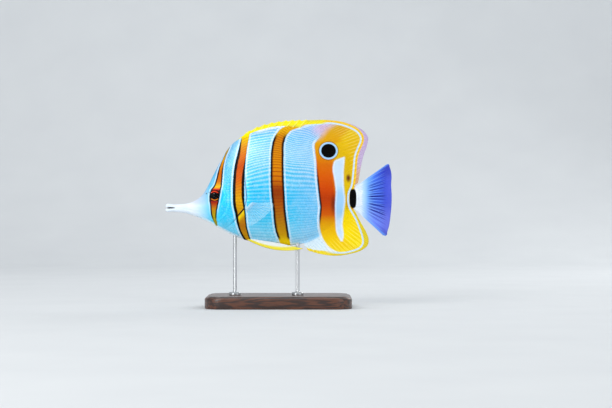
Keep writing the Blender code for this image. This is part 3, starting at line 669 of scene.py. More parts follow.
def scale_places():
    """Places of the scales in side view, row by row, with each one's slope, width and length."""
    rng = np.random.default_rng(SEED)
    heights = np.linspace(*SCALED_HEIGHT, 700)
    found = []
    columns = [SCALED_LENGTH[0]]
    while columns[-1] < SCALED_LENGTH[1]:
        columns.append(columns[-1] + float(column_step(columns[-1])) * 0.5)
    levels = np.arange(*ROW_NUMBERS) * ROW_STEP
    for half_step, distance in enumerate(columns):
        at = row_level(np.full(heights.shape, distance), heights)
        ahead = row_level(np.full(heights.shape, distance + 0.5), heights)
        row_heights = np.interp(levels, at, heights, left=np.nan, right=np.nan)
        next_heights = np.interp(levels, ahead, heights, left=np.nan, right=np.nan)
        wider = np.interp(levels + 0.5, at, heights, left=np.nan, right=np.nan)
        for row, (height, then, above) in enumerate(zip(row_heights, next_heights, wider)):
            if (row + half_step) % 2 or not np.isfinite(height + then + above):
                continue
            slope = math.atan2(then - height, 0.5)
            width = (above - height) * 2 * ROW_STEP
            found.append((distance, height, slope, width, float(column_step(distance))))
    places = np.array(found)
    distance, height = places[:, 0], places[:, 1]
    overhang = fin_overhang(distance, height)
    finned = (distance > SCALED_FIN_FEET[0]) & (distance < SCALED_FIN_FEET[1])
    above, below = fin_limit(distance)
    on_fish = np.where(finned, overhang < np.where(height > 12, above, below), overhang < -0.9)
    from_eye = np.hypot(distance - EYE_CENTRE[0], height - EYE_CENTRE[1])
    behind_gill = distance - gill_distance(height)
    beside_slit = (behind_gill < SLIT_CLEARANCE[0]) | (behind_gill > SLIT_CLEARANCE[1])
    slit_clear = beside_slit | (height > SLIT_ENDS[1]) | (height < SLIT_ENDS[0])
    fin_clear = np.hypot((distance - PECTORAL_BASE[0]) / 1.5, (height - PECTORAL_BASE[1]) / 3.0) > 1
    end_clear = distance < TAIL_CLEARANCE
    places = places[on_fish & (from_eye > EYE_CLEARANCE) & slit_clear & fin_clear & end_clear]
    places[:, 0:2] += rng.normal(0, SCALE_JITTER, (len(places), 2))
    return places, rng.random((len(places), 3))


def trimmed_at_gills(x, z, distance, height, length):
    """Scales that would cross the gill slit are shortened so that they end along it."""
    slit = gill_distance(z)
    near_slit = (height < SLIT_ENDS[1]) & (height > SLIT_ENDS[0])
    ahead = distance - gill_distance(height) < 1.1
    front, rear = distance - length / 2, distance + length / 2
    room_ahead = np.clip((slit - 0.04 - front) / length, 0.12, 1)
    room_behind = np.clip((rear - slit - 0.4) / length, 0.12, 1)
    shortened = np.where(ahead, front + (x - front) * room_ahead, rear - (rear - x) * room_behind)
    return np.where(near_slit, shortened, x)


def make_scales(side, sign, places, chance, material):
    """Scales as thin overlapping plates bent to the flank, their rear edges lifted and free.

    On one scale u runs from its root, 0, to its free edge, 1, and v across it, from -1 to 1.
    """
    along, across = SCALE_GRID
    u, v = np.meshgrid(np.linspace(0, 1, along + 1), np.linspace(-1, 1, across + 1), indexing="ij")
    u, v = u.ravel(), v.ravel()
    distance, height, slope, width, step = (column[:, None] for column in places.T)
    length = step * ROW_LENGTH * (1 + 0.12 * (chance[:, :1] - 0.5))
    a = (u * (1 - 0.3 * v**2) - 0.5) * length
    b = v * width * 0.56 * (1 - 0.12 * (1 - u) ** 2)
    tilt = slope + 0.12 * (chance[:, 1:2] - 0.5)
    x = distance + a * np.cos(tilt) - b * np.sin(tilt)
    z = height + a * np.sin(tilt) + b * np.cos(tilt)
    x = trimmed_at_gills(x, z, distance, height, length)

    size = np.clip(width / ROW_STEP, 0.7, 1.1)
    lift = SCALE_LIFT * size * (u**1.4 + 0.25 * np.sin(math.pi * u) - 0.42 * v**2 * u) - 0.04
    overhang = np.clip(fin_overhang(distance, height) / FIN_SCALE_REACH, 0, 1)
    lift = lift * (1 - 0.55 * overhang)
    # The lateral line: a row of scales that each carry a small tube
    on_line = (np.abs(height - lateral_line(distance)) < 0.5 * ROW_STEP) & (distance > 53)
    lift = lift + np.where(on_line, LINE_TUBE_RISE * bulge(v, 0, 0.2) * np.sin(math.pi * u), 0)
    reach = SCALE_SLOPE_REACH
    y = flank(x, z)
    slope_x = (flank(x + reach, z) - flank(x - reach, z)) / (2 * reach)
    slope_z = (flank(x, z + reach) - flank(x, z - reach)) / (2 * reach)
    steepness = np.sqrt(slope_x**2 + 1 + slope_z**2)
    px, py, pz = x - lift * slope_x / steepness, y + lift / steepness, z - lift * slope_z / steepness
    py = py * sign + fin_middle(x, z) * (fin_overhang(x, z) > 0)

    grid = np.arange((along + 1) * (across + 1)).reshape(along + 1, across + 1)
    top = grid_faces(grid, flip=sign < 0)
    rim = np.concatenate([grid[0, :-1], grid[:-1, -1], grid[-1, :0:-1], grid[:0:-1, 0]])
    under = rim[::-1] if sign < 0 else rim
    tile = len(u)
    faces = []
    for number in range(len(places)):
        start = number * tile
        faces += [[start + corner for corner in quad] for quad in top]
        faces.append((start + under).tolist())
    fields = marks(px, pz)
    tiles = np.broadcast_to(chance[:, 2:3], px.shape)
    fields["scale"] = (np.broadcast_to(u, px.shape), np.broadcast_to(v, px.shape), tiles)
    obj = make_mesh(f"scales_{side}", to_world(px, py, pz), faces, fields)
    lay_bake_map(obj, places, sign, u, v)
    return finish_piece(obj, material, "body_skin")


def lay_bake_map(obj, places, sign, u, v):
    """Each scale is a small patch at its root's place on the skin unrolled ring by ring."""
    distance, height = places[:, 0], places[:, 1]
    middle = widest_level(distance)
    edge = np.where(height > middle, back_height(distance), belly_height(distance))
    turn = np.arcsin(np.clip(np.abs((height - middle) / (edge - middle)), 0, 1)) * np.sign(height - middle)
    beyond = np.maximum(fin_overhang(distance, height), 0) * np.sign(height - middle) / 60
    across = 0.25 + 0.2 * (turn / (math.pi / 2)) * 0.8 + beyond
    across = across if sign < 0 else across + 0.5
    maps = np.stack([
        (distance[:, None] / 140 + (u - 0.5) * BAKE_PATCH), (across[:, None] + v / 2 * BAKE_PATCH),
    ], axis=-1).reshape(-1, 2)  # fmt: skip
    corners = np.empty(len(obj.data.loops), dtype=np.int32)
    obj.data.loops.foreach_get("vertex_index", corners)
    layer = obj.data.uv_layers.new(name="OFBake")
    layer.data.foreach_set("uv", maps[corners].astype(np.float32).ravel())


# Fins


def branching_rays(share, out, rays, fork=0.32, spines=0):
    """Height, from 0 to 1, of the rays' ridges: each ray forks twice on its way to the margin."""
    share, out = np.meshgrid(share, out, indexing="ij")
    pitch = 1 / rays
    first = 0.25 * pitch * ease(out, fork, 1.05)
    second = 0.125 * pitch * ease(out, fork + 0.33, 1.1)
    width = pitch * (0.11 - 0.055 * ease(out, fork - 0.1, 1))
    crest = np.zeros(share.shape)
    for ray in range(rays):
        middle = (ray + 0.5) * pitch
        if ray < spines:
            crest = np.maximum(crest, SPINE_CREST * bulge(share, middle, pitch * 0.14))
            continue
        for one in (-1, 1):
            for two in (-1, 1):
                place = middle + one * first + two * second
                crest = np.maximum(crest, bulge(share, place, width))
    return crest


def fin_piece(name, root, margin, crest, bend, half, ridge, normal, material, slot, jag=0.3):
    """A closed thin sheet with its rays raised on both faces. crest is a grid over share and out."""
    shares, outs = crest.shape
    share, out = np.linspace(0, 1, shares)[:, None], np.linspace(0, 1, outs)[None, :]
    start, end = root(share[:, 0]), margin(share[:, 0])
    run = end - start
    tip = end + run / np.linalg.norm(run, axis=1)[:, None] * (jag * crest[:, -1] - 0.5 * jag)[:, None]
    sheet = start[:, None, :] * (1 - out)[..., None] + tip[:, None, :] * out[..., None]
    sheet = sheet + bend(share, out, sheet)
    thick = half(share, out, sheet) + ridge * crest * (1 - 0.6 * out)
    rim_round = np.sqrt(1 - np.clip((out - 0.985) / 0.03, 0, 1) ** 2)
    thick = thick * rim_round
    points = np.stack([sheet + normal * (face * thick)[..., None] for face in (-1, 1)])
    index = np.arange(2 * shares * outs).reshape(2, shares, outs)
    faces = grid_faces(index[0]) + grid_faces(index[1], flip=True)
    loop = [np.concatenate([side[0, :-1], side[:-1, -1], side[-1, :0:-1], side[:0:-1, 0]]) for side in index]
    faces += grid_faces(np.stack(loop), wrap=True)
    x, z = points[..., 0], points[..., 2]
    length = np.linalg.norm(run, axis=1)[:, None]
    rim = np.broadcast_to((1 - out) * length, (2, shares, outs))
    fields = marks(x, z, rim)
    both = (2, shares, outs)
    fields["fin"] = (np.broadcast_to(share, both), np.broadcast_to(out, both), np.broadcast_to(crest, both))
    obj = make_mesh(f"{name}_rayed", to_world(x, points[..., 1], z), faces, fields)
    recalc_outside(obj)
    return finish_piece(obj, material, slot, name)


def edge_root(edge, ends, sink=1.6):
    start, end = ends
    inward = -1 if edge is back_height else 1

    def place(share):
        distance = start + (end - start) * share
        rise = (edge(distance + 0.1) - edge(distance - 0.1)) / 0.2
        length = np.hypot(rise, 1)
        x = distance - inward * sink * rise / length
        z = edge(distance) + inward * sink / length
        return np.stack([x, 0 * x, z], axis=-1)

    return place


def margin_of(points):
    across, up = through(points), through(points, 2)
    return lambda share: np.stack([across(share), 0 * share, up(share)], axis=-1)


ACROSS = np.array((0.0, 1.0, 0.0))


def soft_bend(share, out, sheet):
    return ACROSS * fin_middle(sheet[..., 0], sheet[..., 2])[..., None]


def soft_half(share, out, sheet):
    return fin_half(sheet[..., 0], sheet[..., 2])


def make_soft_fins(material):
    out = np.linspace(0, 1, 39)
    fins = (
        ("dorsal_fin_soft", back_height, SOFT_DORSAL_ROOT, SOFT_DORSAL_MARGIN, SOFT_DORSAL_RAYS, 0),
        ("anal_fin", belly_height, ANAL_ROOT, ANAL_MARGIN, ANAL_RAYS, ANAL_SPINES),
    )
    for name, edge, ends, margin, rays, spines in fins:
        crest = branching_rays(np.linspace(0, 1, rays * 18 + 1), out, rays, spines=spines)
        fin_piece(
            name, edge_root(edge, ends), margin_of(margin), crest, soft_bend, soft_half,
            FIN_RAY_RIDGE, ACROSS, material, "yellow_fin",
        )  # fmt: skip


def make_spiny_fin(material):
    """Nine stout spines, the membrane between them falling away behind each tip."""
    spines, steps = SPINY_RAYS, 20
    share, out = np.linspace(0, 1, spines * steps + 1), np.linspace(0, 1, 19)
    phase = (share * spines) % 1
    crest = 1.6 * bulge(phase, 0.5, 0.09)[:, None] * (1 - 0.35 * out[None, :])
    margin = margin_of(SPINY_MARGIN)

    def notched(at):
        saw = ((at * spines) % 1 - 0.5) % 1
        fall = 0.35 - 0.75 * ease(saw, 0, 0.35) + 0.6 * ease(saw, 0.4, 1)
        line = margin(at)
        line[..., 2] += fall
        return line

    def still(share, out, sheet):
        return np.zeros(sheet.shape)

    def half(share, out, sheet):
        return 0.13 + 0.9 * (1 - out) ** 2 + 0 * share

    fin_piece(
        "dorsal_fin_spiny", edge_root(back_height, SPINY_ROOT), notched, crest, still, half,
        0.17, ACROSS, material, "yellow_fin", jag=0.0,
    )  # fmt: skip


def make_tail_fin(material):
    distance, top, bottom = TAIL_ROOT
    share, out = np.linspace(0, 1, TAIL_RAYS * 20 + 1), np.linspace(0, 1, 45)

    def root(at):
        return np.stack([distance + 0 * at, 0 * at, top + (bottom - top) * at], axis=-1)

    def swept(share, out, sheet):
        wave = FIN_WAVE * np.sin(3 * math.pi * share) * out
        return ACROSS * (TAIL_SWEEP * out**2 + wave)[..., None]

    def half(share, out, sheet):
        return 0.13 + 1.35 * np.exp(-np.maximum(sheet[..., 0] - 126, 0) / 4.2)

    fin_piece(
        "tail_fin", root, margin_of(TAIL_MARGIN), branching_rays(share, out, TAIL_RAYS, fork=0.28),
        swept, half, FIN_RAY_RIDGE, ACROSS, material, "tail_membrane", jag=0.12,
    )  # fmt: skip


def make_pectoral_fin(side, sign, material):
    distance, height = PECTORAL_BASE
    base = np.array((distance, sign * (float(body_out(distance, height)) - 0.6), height))
    line = Vector((math.sin(PECTORAL_DROOP), 0, math.cos(PECTORAL_DROOP)))
    turn = Matrix.Rotation(sign * PECTORAL_FLARE, 3, line)
    middle = np.array(turn @ Vector((math.cos(PECTORAL_DROOP), 0, -math.sin(PECTORAL_DROOP))))
    normal = np.array(turn @ Vector((0, sign, 0)))
    line = np.array(line)

    def root(at):
        return base + line * (PECTORAL_BASE_HALF * (1 - 2 * at))[:, None]

    def margin(at):
        angle = ((0.5 - at) * PECTORAL_FAN)[:, None]
        rounding = ((1 - 0.28 * at) * (1 - 0.25 * (2 * at - 1) ** 6))[:, None]
        return root(at) + (middle * np.cos(angle) + line * np.sin(angle)) * PECTORAL_LENGTH * rounding

    def cupped(share, out, sheet):
        return normal * (1.2 * (out**2 - 0.75 * (2 * share - 1) ** 2 * out))[..., None]

    def half(share, out, sheet):
        return 0.08 + 0.75 * np.exp(-out / 0.07) + 0 * share

    share, out = np.linspace(0, 1, PECTORAL_RAYS * 16 + 1), np.linspace(0, 1, 33)
    fin_piece(
        f"pectoral_fin_{side}", root, margin, branching_rays(share, out, PECTORAL_RAYS, fork=0.4),
        cupped, half, 0.13, normal, material, "clear_fin", jag=0.25,
    )  # fmt: skip


def make_pelvic_fin(side, sign, material):
    def edge(ends, spread):
        outer, inner = (np.array((x, sign * y, z)) for (x, z), y in zip(ends, spread))
        return lambda at: outer + (inner - outer) * at[:, None]

    def bowed(share, out, sheet):
        return np.array((0, 0, 1.0)) * (-4 * PELVIC_BOW * out * (1 - out) * (1 - share))[..., None]

    def half(share, out, sheet):
        return 0.1 + 0.4 * (1 - out) ** 2 + 0 * share

    normal = np.array((0, sign, 0.4)) / math.hypot(1, 0.4)
    share, out = np.linspace(0, 1, PELVIC_RAYS * 16 + 1), np.linspace(0, 1, 41)
    fin_piece(
        f"pelvic_fin_{side}", edge(PELVIC_ROOT, PELVIC_ROOT_SPREAD), edge(PELVIC_TIP, PELVIC_TIP_SPREAD),
        branching_rays(share, out, PELVIC_RAYS, spines=1), bowed, half, 0.16, normal, material, "yellow_fin",
    )  # fmt: skip


# Eyes


def turned(name, profile, centre, sign, yaw, around=96):
    """A lathe shape round an axis that points out of the head. profile is (radius, depth) outwards."""
    radius, depth = (np.array(column, float)[:, None] for column in zip(*profile))
    angle = np.linspace(0, 2 * math.pi, around, endpoint=False)[None, :]
    local = np.stack([radius * np.cos(angle), depth + 0 * angle, radius * np.sin(angle)], axis=-1)
    lean = np.array(Matrix.Rotation(yaw, 3, "Z"))
    local = local @ lean.T
    points = np.array(centre) + local * np.array((1, sign, 1))
    index = np.arange(radius.size * around).reshape(radius.size, around)
    faces = grid_faces(index, wrap=True, flip=sign > 0)
    faces += [index[0].tolist(), index[-1].tolist()]
    flat = np.broadcast_to(radius, local.shape[:2])
    x, y, z = (points[..., i] for i in range(3))
    wheel = np.broadcast_to(angle, local.shape[:2])
    data = {"eye": (flat, np.cos(wheel), np.sin(wheel))}
    obj = make_mesh(name, to_world(x, y, z), faces, data)
    recalc_outside(obj)
    return obj


def make_eye(side, sign, iris, cornea):
    """A domed black pupil in a sloping iris, under a clear cornea."""
    distance, height = EYE_CENTRE
    seat = float(body_out(distance, height)) + EYE_RISE
    centre = (distance, sign * seat, height)
    opening = EYE_OPENING
    ball = [(0.02, -0.22)]
    ball += [(r, -0.22 - 0.14 * (r / 2.6) ** 2) for r in np.linspace(0.25, 2.6, 13)]
    ball += [(2.67, -0.41), (2.71, -0.48), (2.76, -0.5)]
    ball += [(r, -0.5 - 0.36 * ((r - 2.76) / 0.56) ** 1.5) for r in np.linspace(2.82, 3.32, 8)]
    ball += [(3.4, -1.4), (3.3, -2.2), (2.6, -3.0), (1.2, -3.6), (0.02, -3.7)]
    eye = turned(f"eyeball_{side}", ball, centre, sign, EYE_YAW)
    finish_piece(eye, iris, "eye", f"eye_{side}")
    dome = [(0.02, 0.0)]
    dome += [(opening * 1.1 * math.sin(t), -1.15 * (1 - math.cos(t))) for t in np.linspace(0.08, 1.45, 20)]
    dome += [(opening * 1.1, -1.4), (opening * 1.06, -1.45)]
    finish_piece(turned(f"cornea_{side}", dome, centre, sign, EYE_YAW), cornea, "eye")


# Stand


def make_stand_base(wood):
    """A hardwood block with a rounded top edge."""
    width, depth, tall = BASE_SIZE
    spin = np.linspace(0, math.pi / 2, BASE_CORNER_STEPS + 1)
    shoulder = tall - BASE_SHOULDER
    rounding = np.linspace(0.2, math.pi / 2, 9)
    profile = [(0.9, 0.0), (0.25, 0.12), (0, 0.7), (0, shoulder)]  # inset, level
    profile += [(1.6 * (1 - math.cos(t)), shoulder + 1.7 * math.sin(t)) for t in rounding]
    profile += [(2.1, tall - 0.5), (2.3, tall - 0.12), (2.7, tall)]
    rings = []
    for inset, level in profile:
        ring = []
        for quarter in range(4):
            across = (1, -1, -1, 1)[quarter] * (width / 2 - BASE_CORNER)
            along = (1, 1, -1, -1)[quarter] * (depth / 2 - BASE_CORNER)
            for angle in spin + quarter * math.pi / 2:
                reach = BASE_CORNER - inset
                ring.append((across + reach * math.cos(angle), along + reach * math.sin(angle), level))
        rings.append(ring)
    points = np.array(rings)
    index = np.arange(points.shape[0] * points.shape[1]).reshape(points.shape[:2])
    faces = grid_faces(index, wrap=True) + [index[0].tolist(), index[-1].tolist()]
    base = make_mesh("stand_base_block", points * MM, faces, sharp=40)
    recalc_outside(base)
    finish_piece(base, wood, "stand_wood", "stand_base")


def make_stand_rods(steel):
    """Two turned rods, each with a foot on the block, that enter the belly."""
    tall = BASE_SIZE[2]
    for name, distance in RODS:
        top = MOUTH_LINE / MM + float(belly_height(distance)) + ROD_INTO_BELLY
        foot = tall + ROD_FOOT_HEIGHT
        profile = [  # radius, level
            (0.01, tall), (ROD_FOOT_RADIUS - 0.3, tall), (ROD_FOOT_RADIUS, tall + 0.3),
            (ROD_FOOT_RADIUS, foot - 0.5), (ROD_FOOT_RADIUS - 0.4, foot - 0.05),
            (ROD_FOOT_RADIUS - 0.9, foot),
        ]  # fmt: skip
        outer = ROD_RADIUS + ROD_FILLET
        for t in np.linspace(0, math.pi / 2, 7):
            profile.append((outer - ROD_FILLET * math.sin(t), foot + ROD_FILLET * (1 - math.cos(t))))
        profile += [(ROD_RADIUS, top), (0.01, top)]
        radius, level = (np.array(column, float)[:, None] for column in zip(*profile))
        angle = np.linspace(0, 2 * math.pi, ROD_SIDES, endpoint=False)[None, :]
        x = SNOUT_TIP / MM + distance + radius * np.cos(angle)
        points = np.stack([x, radius * np.sin(angle), level + 0 * angle], axis=-1)
        index = np.arange(radius.size * ROD_SIDES).reshape(-1, ROD_SIDES)
        faces = grid_faces(index, wrap=True) + [index[0].tolist(), index[-1].tolist()]
        rod = make_mesh(f"stand_rod_{name}_turned", points * MM, faces, sharp=35)
        recalc_outside(rod)
        finish_piece(rod, steel, "stand_steel", f"stand_rod_{name}")


# Paints


def colour(code):
    """A display colour such as 6fc3e8 as the linear colour that shaders use."""
    parts = [int(code[i : i + 2], 16) / 255 for i in (0, 2, 4)]
    return (*(c / 12.92 if c <= 0.04045 else ((c + 0.055) / 1.055) ** 2.4 for c in parts), 1.0)


class Wiring:
    """Adds nodes to one tree and joins them."""

    def __init__(self, tree):
        self.tree = tree

    def feed(self, socket, value):
        if isinstance(value, bpy.types.NodeSocket):
            self.tree.links.new(value, socket)
        elif value is not None:
            socket.default_value = value

    def node(self, kind, settings=None, **inputs):
        made = self.tree.nodes.new(kind)
        for name, value in (settings or {}).items():
            setattr(made, name, value)
        for name, value in inputs.items():
            self.feed(made.inputs[name.replace("_", " ")], value)
        return made

    def maths(self, operation, first, second=None, clamp=False):
        made = self.node("ShaderNodeMath", {"operation": operation, "use_clamp": clamp})
        self.feed(made.inputs[0], first)
        self.feed(made.inputs[1], second)
        return made.outputs[0]

    def plus(self, first, second):
        return self.maths("ADD", first, second)

    def minus(self, first, second):
        return self.maths("SUBTRACT", first, second)

    def larger(self, first, second):
        return self.maths("MAXIMUM", first, second)

    def both(self, first, *others):
        """The product of masks, there only where all of them are."""
        second = others[0] if len(others) == 1 else self.both(*others)
        return self.maths("MULTIPLY", first, second)

    def away(self, value, place):
        """How far the value is from a place, either way."""
        return self.maths("ABSOLUTE", self.minus(value, place))

    def step(self, value, low, high):
        """0 at low and below, 1 at high and above; the other way round where low is the larger."""
        made = self.node("ShaderNodeMapRange", {"interpolation_type": "SMOOTHSTEP", "clamp": True})
        for name, given in (("Value", value), ("From Min", low), ("From Max", high)):
            self.feed(made.inputs[name], given)
        return made.outputs[0]

    def near(self, value, place, reach):
        """1 where the value is at place, down to 0 where it is reach away."""
        return self.step(self.away(value, place), reach, reach * 0.35)

    def mix(self, mask, under, over, kind="MIX"):
        made = self.tree.nodes.new("ShaderNodeMix")
        made.data_type, made.blend_type = "RGBA", kind
        for socket, value in zip((made.inputs[0], made.inputs[6], made.inputs[7]), (mask, under, over)):
            self.feed(socket, colour(value) if isinstance(value, str) else value)
        return made.outputs[2]

    def ramp(self, value, low, high, stops):
        """A colour from stops, (value, colour code), between low and high."""
        spread = self.node("ShaderNodeMapRange", {"clamp": True})
        for name, given in (("Value", value), ("From Min", low), ("From Max", high)):
            self.feed(spread.inputs[name], given)
        made = self.node("ShaderNodeValToRGB", Fac=spread.outputs[0])
        elements = made.color_ramp.elements
        while len(elements) > 1:
            elements.remove(elements[-1])
        for i, (at, code) in enumerate(stops):
            share = (at - low) / (high - low)
            stop = elements[0] if i == 0 else elements.new(share)
            stop.position = share
            stop.color = colour(code)
        return made.outputs[0]

    def noise(self, place, size, detail=2.0, roughness=0.5):
        """Noise with features of about size millimetres."""
        from_socket = isinstance(size, bpy.types.NodeSocket)
        scale = self.maths("DIVIDE", 1 / MM, size) if from_socket else 1 / (size * MM)
        made = self.node("ShaderNodeTexNoise", Vector=place, Scale=scale, Detail=detail, Roughness=roughness)
        return made.outputs[0]

    def stretched(self, place, scale):
        """The place, drawn out along each axis whose scale is small."""
        return self.node("ShaderNodeMapping", Vector=place, Scale=scale).outputs[0]

    def oval(self, x, z, centre, radii, soft=0.3):
        """1 inside an oval, falling to 0 round its rim."""
        across = self.maths("DIVIDE", self.minus(x, centre[0]), radii[0])
        up = self.maths("DIVIDE", self.minus(z, centre[1]), radii[1])
        squared = self.plus(self.both(across, across), self.both(up, up))
        return self.step(self.maths("SQRT", squared), 1 + soft, 1 - soft)

    def triple(self, name):
        """The three numbers of a vertex attribute."""
        read = self.node("ShaderNodeAttribute", {"attribute_name": name})
        split = self.node("ShaderNodeSeparateXYZ", Vector=read.outputs["Vector"])
        return split.outputs

    def place(self):
        return self.node("ShaderNodeTexCoord").outputs["Object"]


def new_group(name, inputs, outputs):
    group = bpy.data.node_groups.new(name, "ShaderNodeTree")
    for title, kind, default in inputs:
        socket = group.interface.new_socket(title, in_out="INPUT", socket_type=kind)
        if default is not None:
            socket.default_value = default
    for title, kind in outputs:
        group.interface.new_socket(title, in_out="OUTPUT", socket_type=kind)
    wires = Wiring(group)
    return group, wires, wires.node("NodeGroupInput").outputs, wires.node("NodeGroupOutput").inputs


def use_group(wires, group, **inputs):
    made = wires.tree.nodes.new("ShaderNodeGroup")
    made.node_tree = group
    for name, value in inputs.items():
        wires.feed(made.inputs[name.replace("_", " ")], value)
    return made.outputs


def stalk_spot(w, shade, stalk, distance):
    """The black spot on the tail stalk, which ends on the foot of the tail fin."""
    spot = w.both(w.step(stalk, 0.2, -0.2), w.step(distance, *STALK_SPOT_END))
    return w.mix(spot, shade, "030304")


def markings_group():
    """The fish's colours from the distances stored on its vertices."""
    group, w, given, out = new_group(
        "butterflyfish_markings",
        [("Place", "NodeSocketVector", None), ("Row Strength", "NodeSocketFloat", 1.0)],
        [("Color", "NodeSocketColor"), ("Ground", "NodeSocketFloat"), ("Gloss", "NodeSocketFloat")],
    )
    place = given["Place"]
    eye_band, gill_band, flank_band = w.triple("bands")
    gill_front, gill_rear, rim = w.triple("gill_edges")
    rear_zone, streak, spot = w.triple("rear")
    line, stalk, strip = w.triple("edges")
    distance, height, keel = w.triple("place")
    row, overhang, _ = w.triple("rows")
    from_row = w.away(w.maths("FRACT", w.plus(row, 0.5)), 0.5)
    on_rows = w.both(w.step(overhang, 8, 1), w.both(w.step(distance, 38, 50), given["Row Strength"]))
    row_sheen_line = w.both(w.step(from_row, 0.3, 0.08), on_rows)
    row_gap = w.both(w.step(from_row, 0.3, 0.48), on_rows)
    waver = w.both(w.minus(w.noise(place, 1.6, 3), 0.5), 0.5)

    def wavered(value):
        return w.plus(value, waver)

    # Ground colour, from belly to back, paler to the rear and white on the snout
    ground = w.ramp(height, -30, 60, (
        (-26, "d0e8fc"), (-20, "86dcf9"), (-8, "34ccf6"), (3, "1cc6f8"), (14, "30caf8"), (26, "5ed0f7"),
        (36, "8cd8f8"), (46, "62c6f4"), (54, "90bcf6"),
    ))  # fmt: skip
    ground = w.mix(w.both(w.step(distance, 78, 98), 0.5), ground, "8fc6f6")
    lavender = w.both(w.step(distance, 92, 106), w.step(w.away(height, 12), 33, 43))
    ground = w.mix(w.both(lavender, 0.8), ground, "c4c4f4")
    ground = w.mix(w.both(w.oval(distance, height, (104, 51), (6, 5), 0.6), 0.75), ground, "dab0d0")
    ground = w.mix(w.both(w.step(distance, 34, 17), 0.97), ground, "e6f0fa")
    ground = w.mix(w.both(w.step(height, 12, 30), w.step(distance, 46, 30)), ground, "93c8ec")
    ground = w.mix(w.both(w.both(w.step(distance, 54, 44), w.step(height, 4, 24)), 0.6), ground, "3496c8")
    snout_top = w.both(w.step(height, 0.2, 3.4), w.both(w.step(distance, 14, 21), w.step(distance, 31, 25)))
    ground = w.mix(w.both(snout_top, 0.3), ground, "9a8ca8")
    keel_top = w.minus(1.9, w.both(w.step(distance, 82, 94), 1.7))
    on_keel = w.both(w.step(w.minus(keel, keel_top), 0.2, -1.3), w.step(distance, 16, 30))
    ground = w.mix(on_keel, ground, "e2f6ff")
    # Pale lines along the scale rows: a painted sheen of the silvery middles of the scales, stronger higher
    # up
    paler = w.plus(w.both(w.step(height, 2, 28), 0.3), 0.11)
    ground = w.mix(w.both(row_sheen_line, paler), ground, "f2f4ff")
    ground = w.mix(w.both(row_gap, 0.16), ground, "10a6e6")
    mottle = w.noise(place, 7, 3)
    ground = w.mix(w.both(w.step(mottle, 0.5, 0.75), 0.25), ground, "b4e2f8")

    # Pale lines in front of and behind each band
    halo = w.larger(w.near(gill_band, 0.7, 0.75), w.near(flank_band, 0.7, 0.75))
    halo = w.larger(w.both(halo, 0.7), w.both(w.near(rear_zone, 0.85, 0.95), w.step(height, 47, 42)))
    halo = w.larger(halo, w.both(w.near(eye_band, 0.5, 0.6), w.both(w.step(height, -8, 2), 0.7)))
    under_strip = w.both(w.near(strip, -0.9, 0.9), w.both(w.step(distance, 56, 64), w.step(distance, 88, 80)))
    halo = w.larger(halo, under_strip)
    shade = w.mix(w.both(halo, 0.8), ground, "e8f2fd")

    # Bands: copper between dark edges
    gill_core = w.ramp(height, -30, 60, (
        (-21, "c8920a"), (-12, "b06c06"), (-3, "cc9404"), (5, "e2a602"), (11, "dc8a02"), (19, "d65e00"),
        (27, "cc5200"), (34, "d87004"), (40, "dc9202"), (44, "e4b402"), (47, "f4d802"), (50, "f8e404"),
    ))  # fmt: skip
    flank_core = w.ramp(height, -30, 60, (
        (-23, "efcc0c"), (-18, "c79500"), (-8, "b27204"), (1, "ac5602"), (8, "8f3a02"), (12, "963c02"),
        (19, "cb7202"), (28, "d58402"), (38, "d08204"), (46, "c57804"), (51, "deab04"),
    ))  # fmt: skip
    eye_core = w.ramp(height, -30, 60, (
        (-11, "a8a008"), (-5, "b49a06"), (-1, "bc7a06"), (1.6, "b04404"), (3.6, "9a1604"), (4.4, "3a0a04"),
        (10.9, "1e0504"), (11.9, "dc2c1c"), (13.2, "f4be00"), (14.8, "e09a00"), (16.8, "cc6c02"),
        (22, "cc6402"), (28, "d48204"), (32, "d8a004"), (38, "c0a008"),
    ))  # fmt: skip
    rows = w.both(row_gap, w.step(height, -16, 6))
    flank_core = w.mix(w.both(rows, 0.75), flank_core, "9a3202")
    gill_core = w.mix(w.both(rows, 0.35), gill_core, "a03a02")
    eye_edge = w.mix(w.step(height, -5.5, -9.5), "1a0a08", "8f8a1c")
    shade = w.mix(w.step(wavered(eye_band), 0.15, -0.15), shade, eye_edge)
    eye_width = w.minus(0.85, w.both(w.step(height, 22, 31), 0.62))
    shade = w.mix(w.step(wavered(w.plus(eye_band, eye_width)), 0.2, -0.25), shade, eye_core)
    shade = w.mix(w.step(wavered(gill_band), 0.12, -0.2), shade, "0c0404")
    front_width = w.plus(w.both(w.step(height, 50, 32), 1.85), w.both(w.step(height, -2, -16), -0.6))
    rear_width = w.plus(w.both(w.step(height, 37, 18), 1.8), w.both(w.step(height, 9, -3), -0.95))
    in_core = w.step(wavered(w.plus(gill_front, front_width)), 0.3, -0.3)
    in_core = w.both(in_core, w.step(wavered(w.plus(gill_rear, rear_width)), 0.3, -0.4))
    # The edge of the gill cover crosses the band as a dark line of painted shadow, with bright yellow behind
    # it as a painted highlight
    notch = w.plus(height, w.both(w.minus(distance, 50), -1.15))
    gill_core = w.mix(w.both(w.step(notch, -10, -4.5), w.step(notch, -3.4, -4.4)), gill_core, "f2d004")
    gill_core = w.mix(w.both(w.near(notch, -3.6, 1.0), w.step(distance, 53.4, 52.4)), gill_core, "3a1804")
    shade = w.mix(in_core, shade, gill_core)
    flank_edge = w.mix(w.step(height, 45, 50), "220a06", "d8a40c")
    flank_edge = w.mix(w.step(height, -19.5, -22.5), flank_edge, "ecc80c")
    shade = w.mix(w.step(wavered(flank_band), 0.12, -0.25), shade, flank_edge)
    shade = w.mix(w.step(wavered(flank_band), -0.85, -2.0), shade, flank_core)

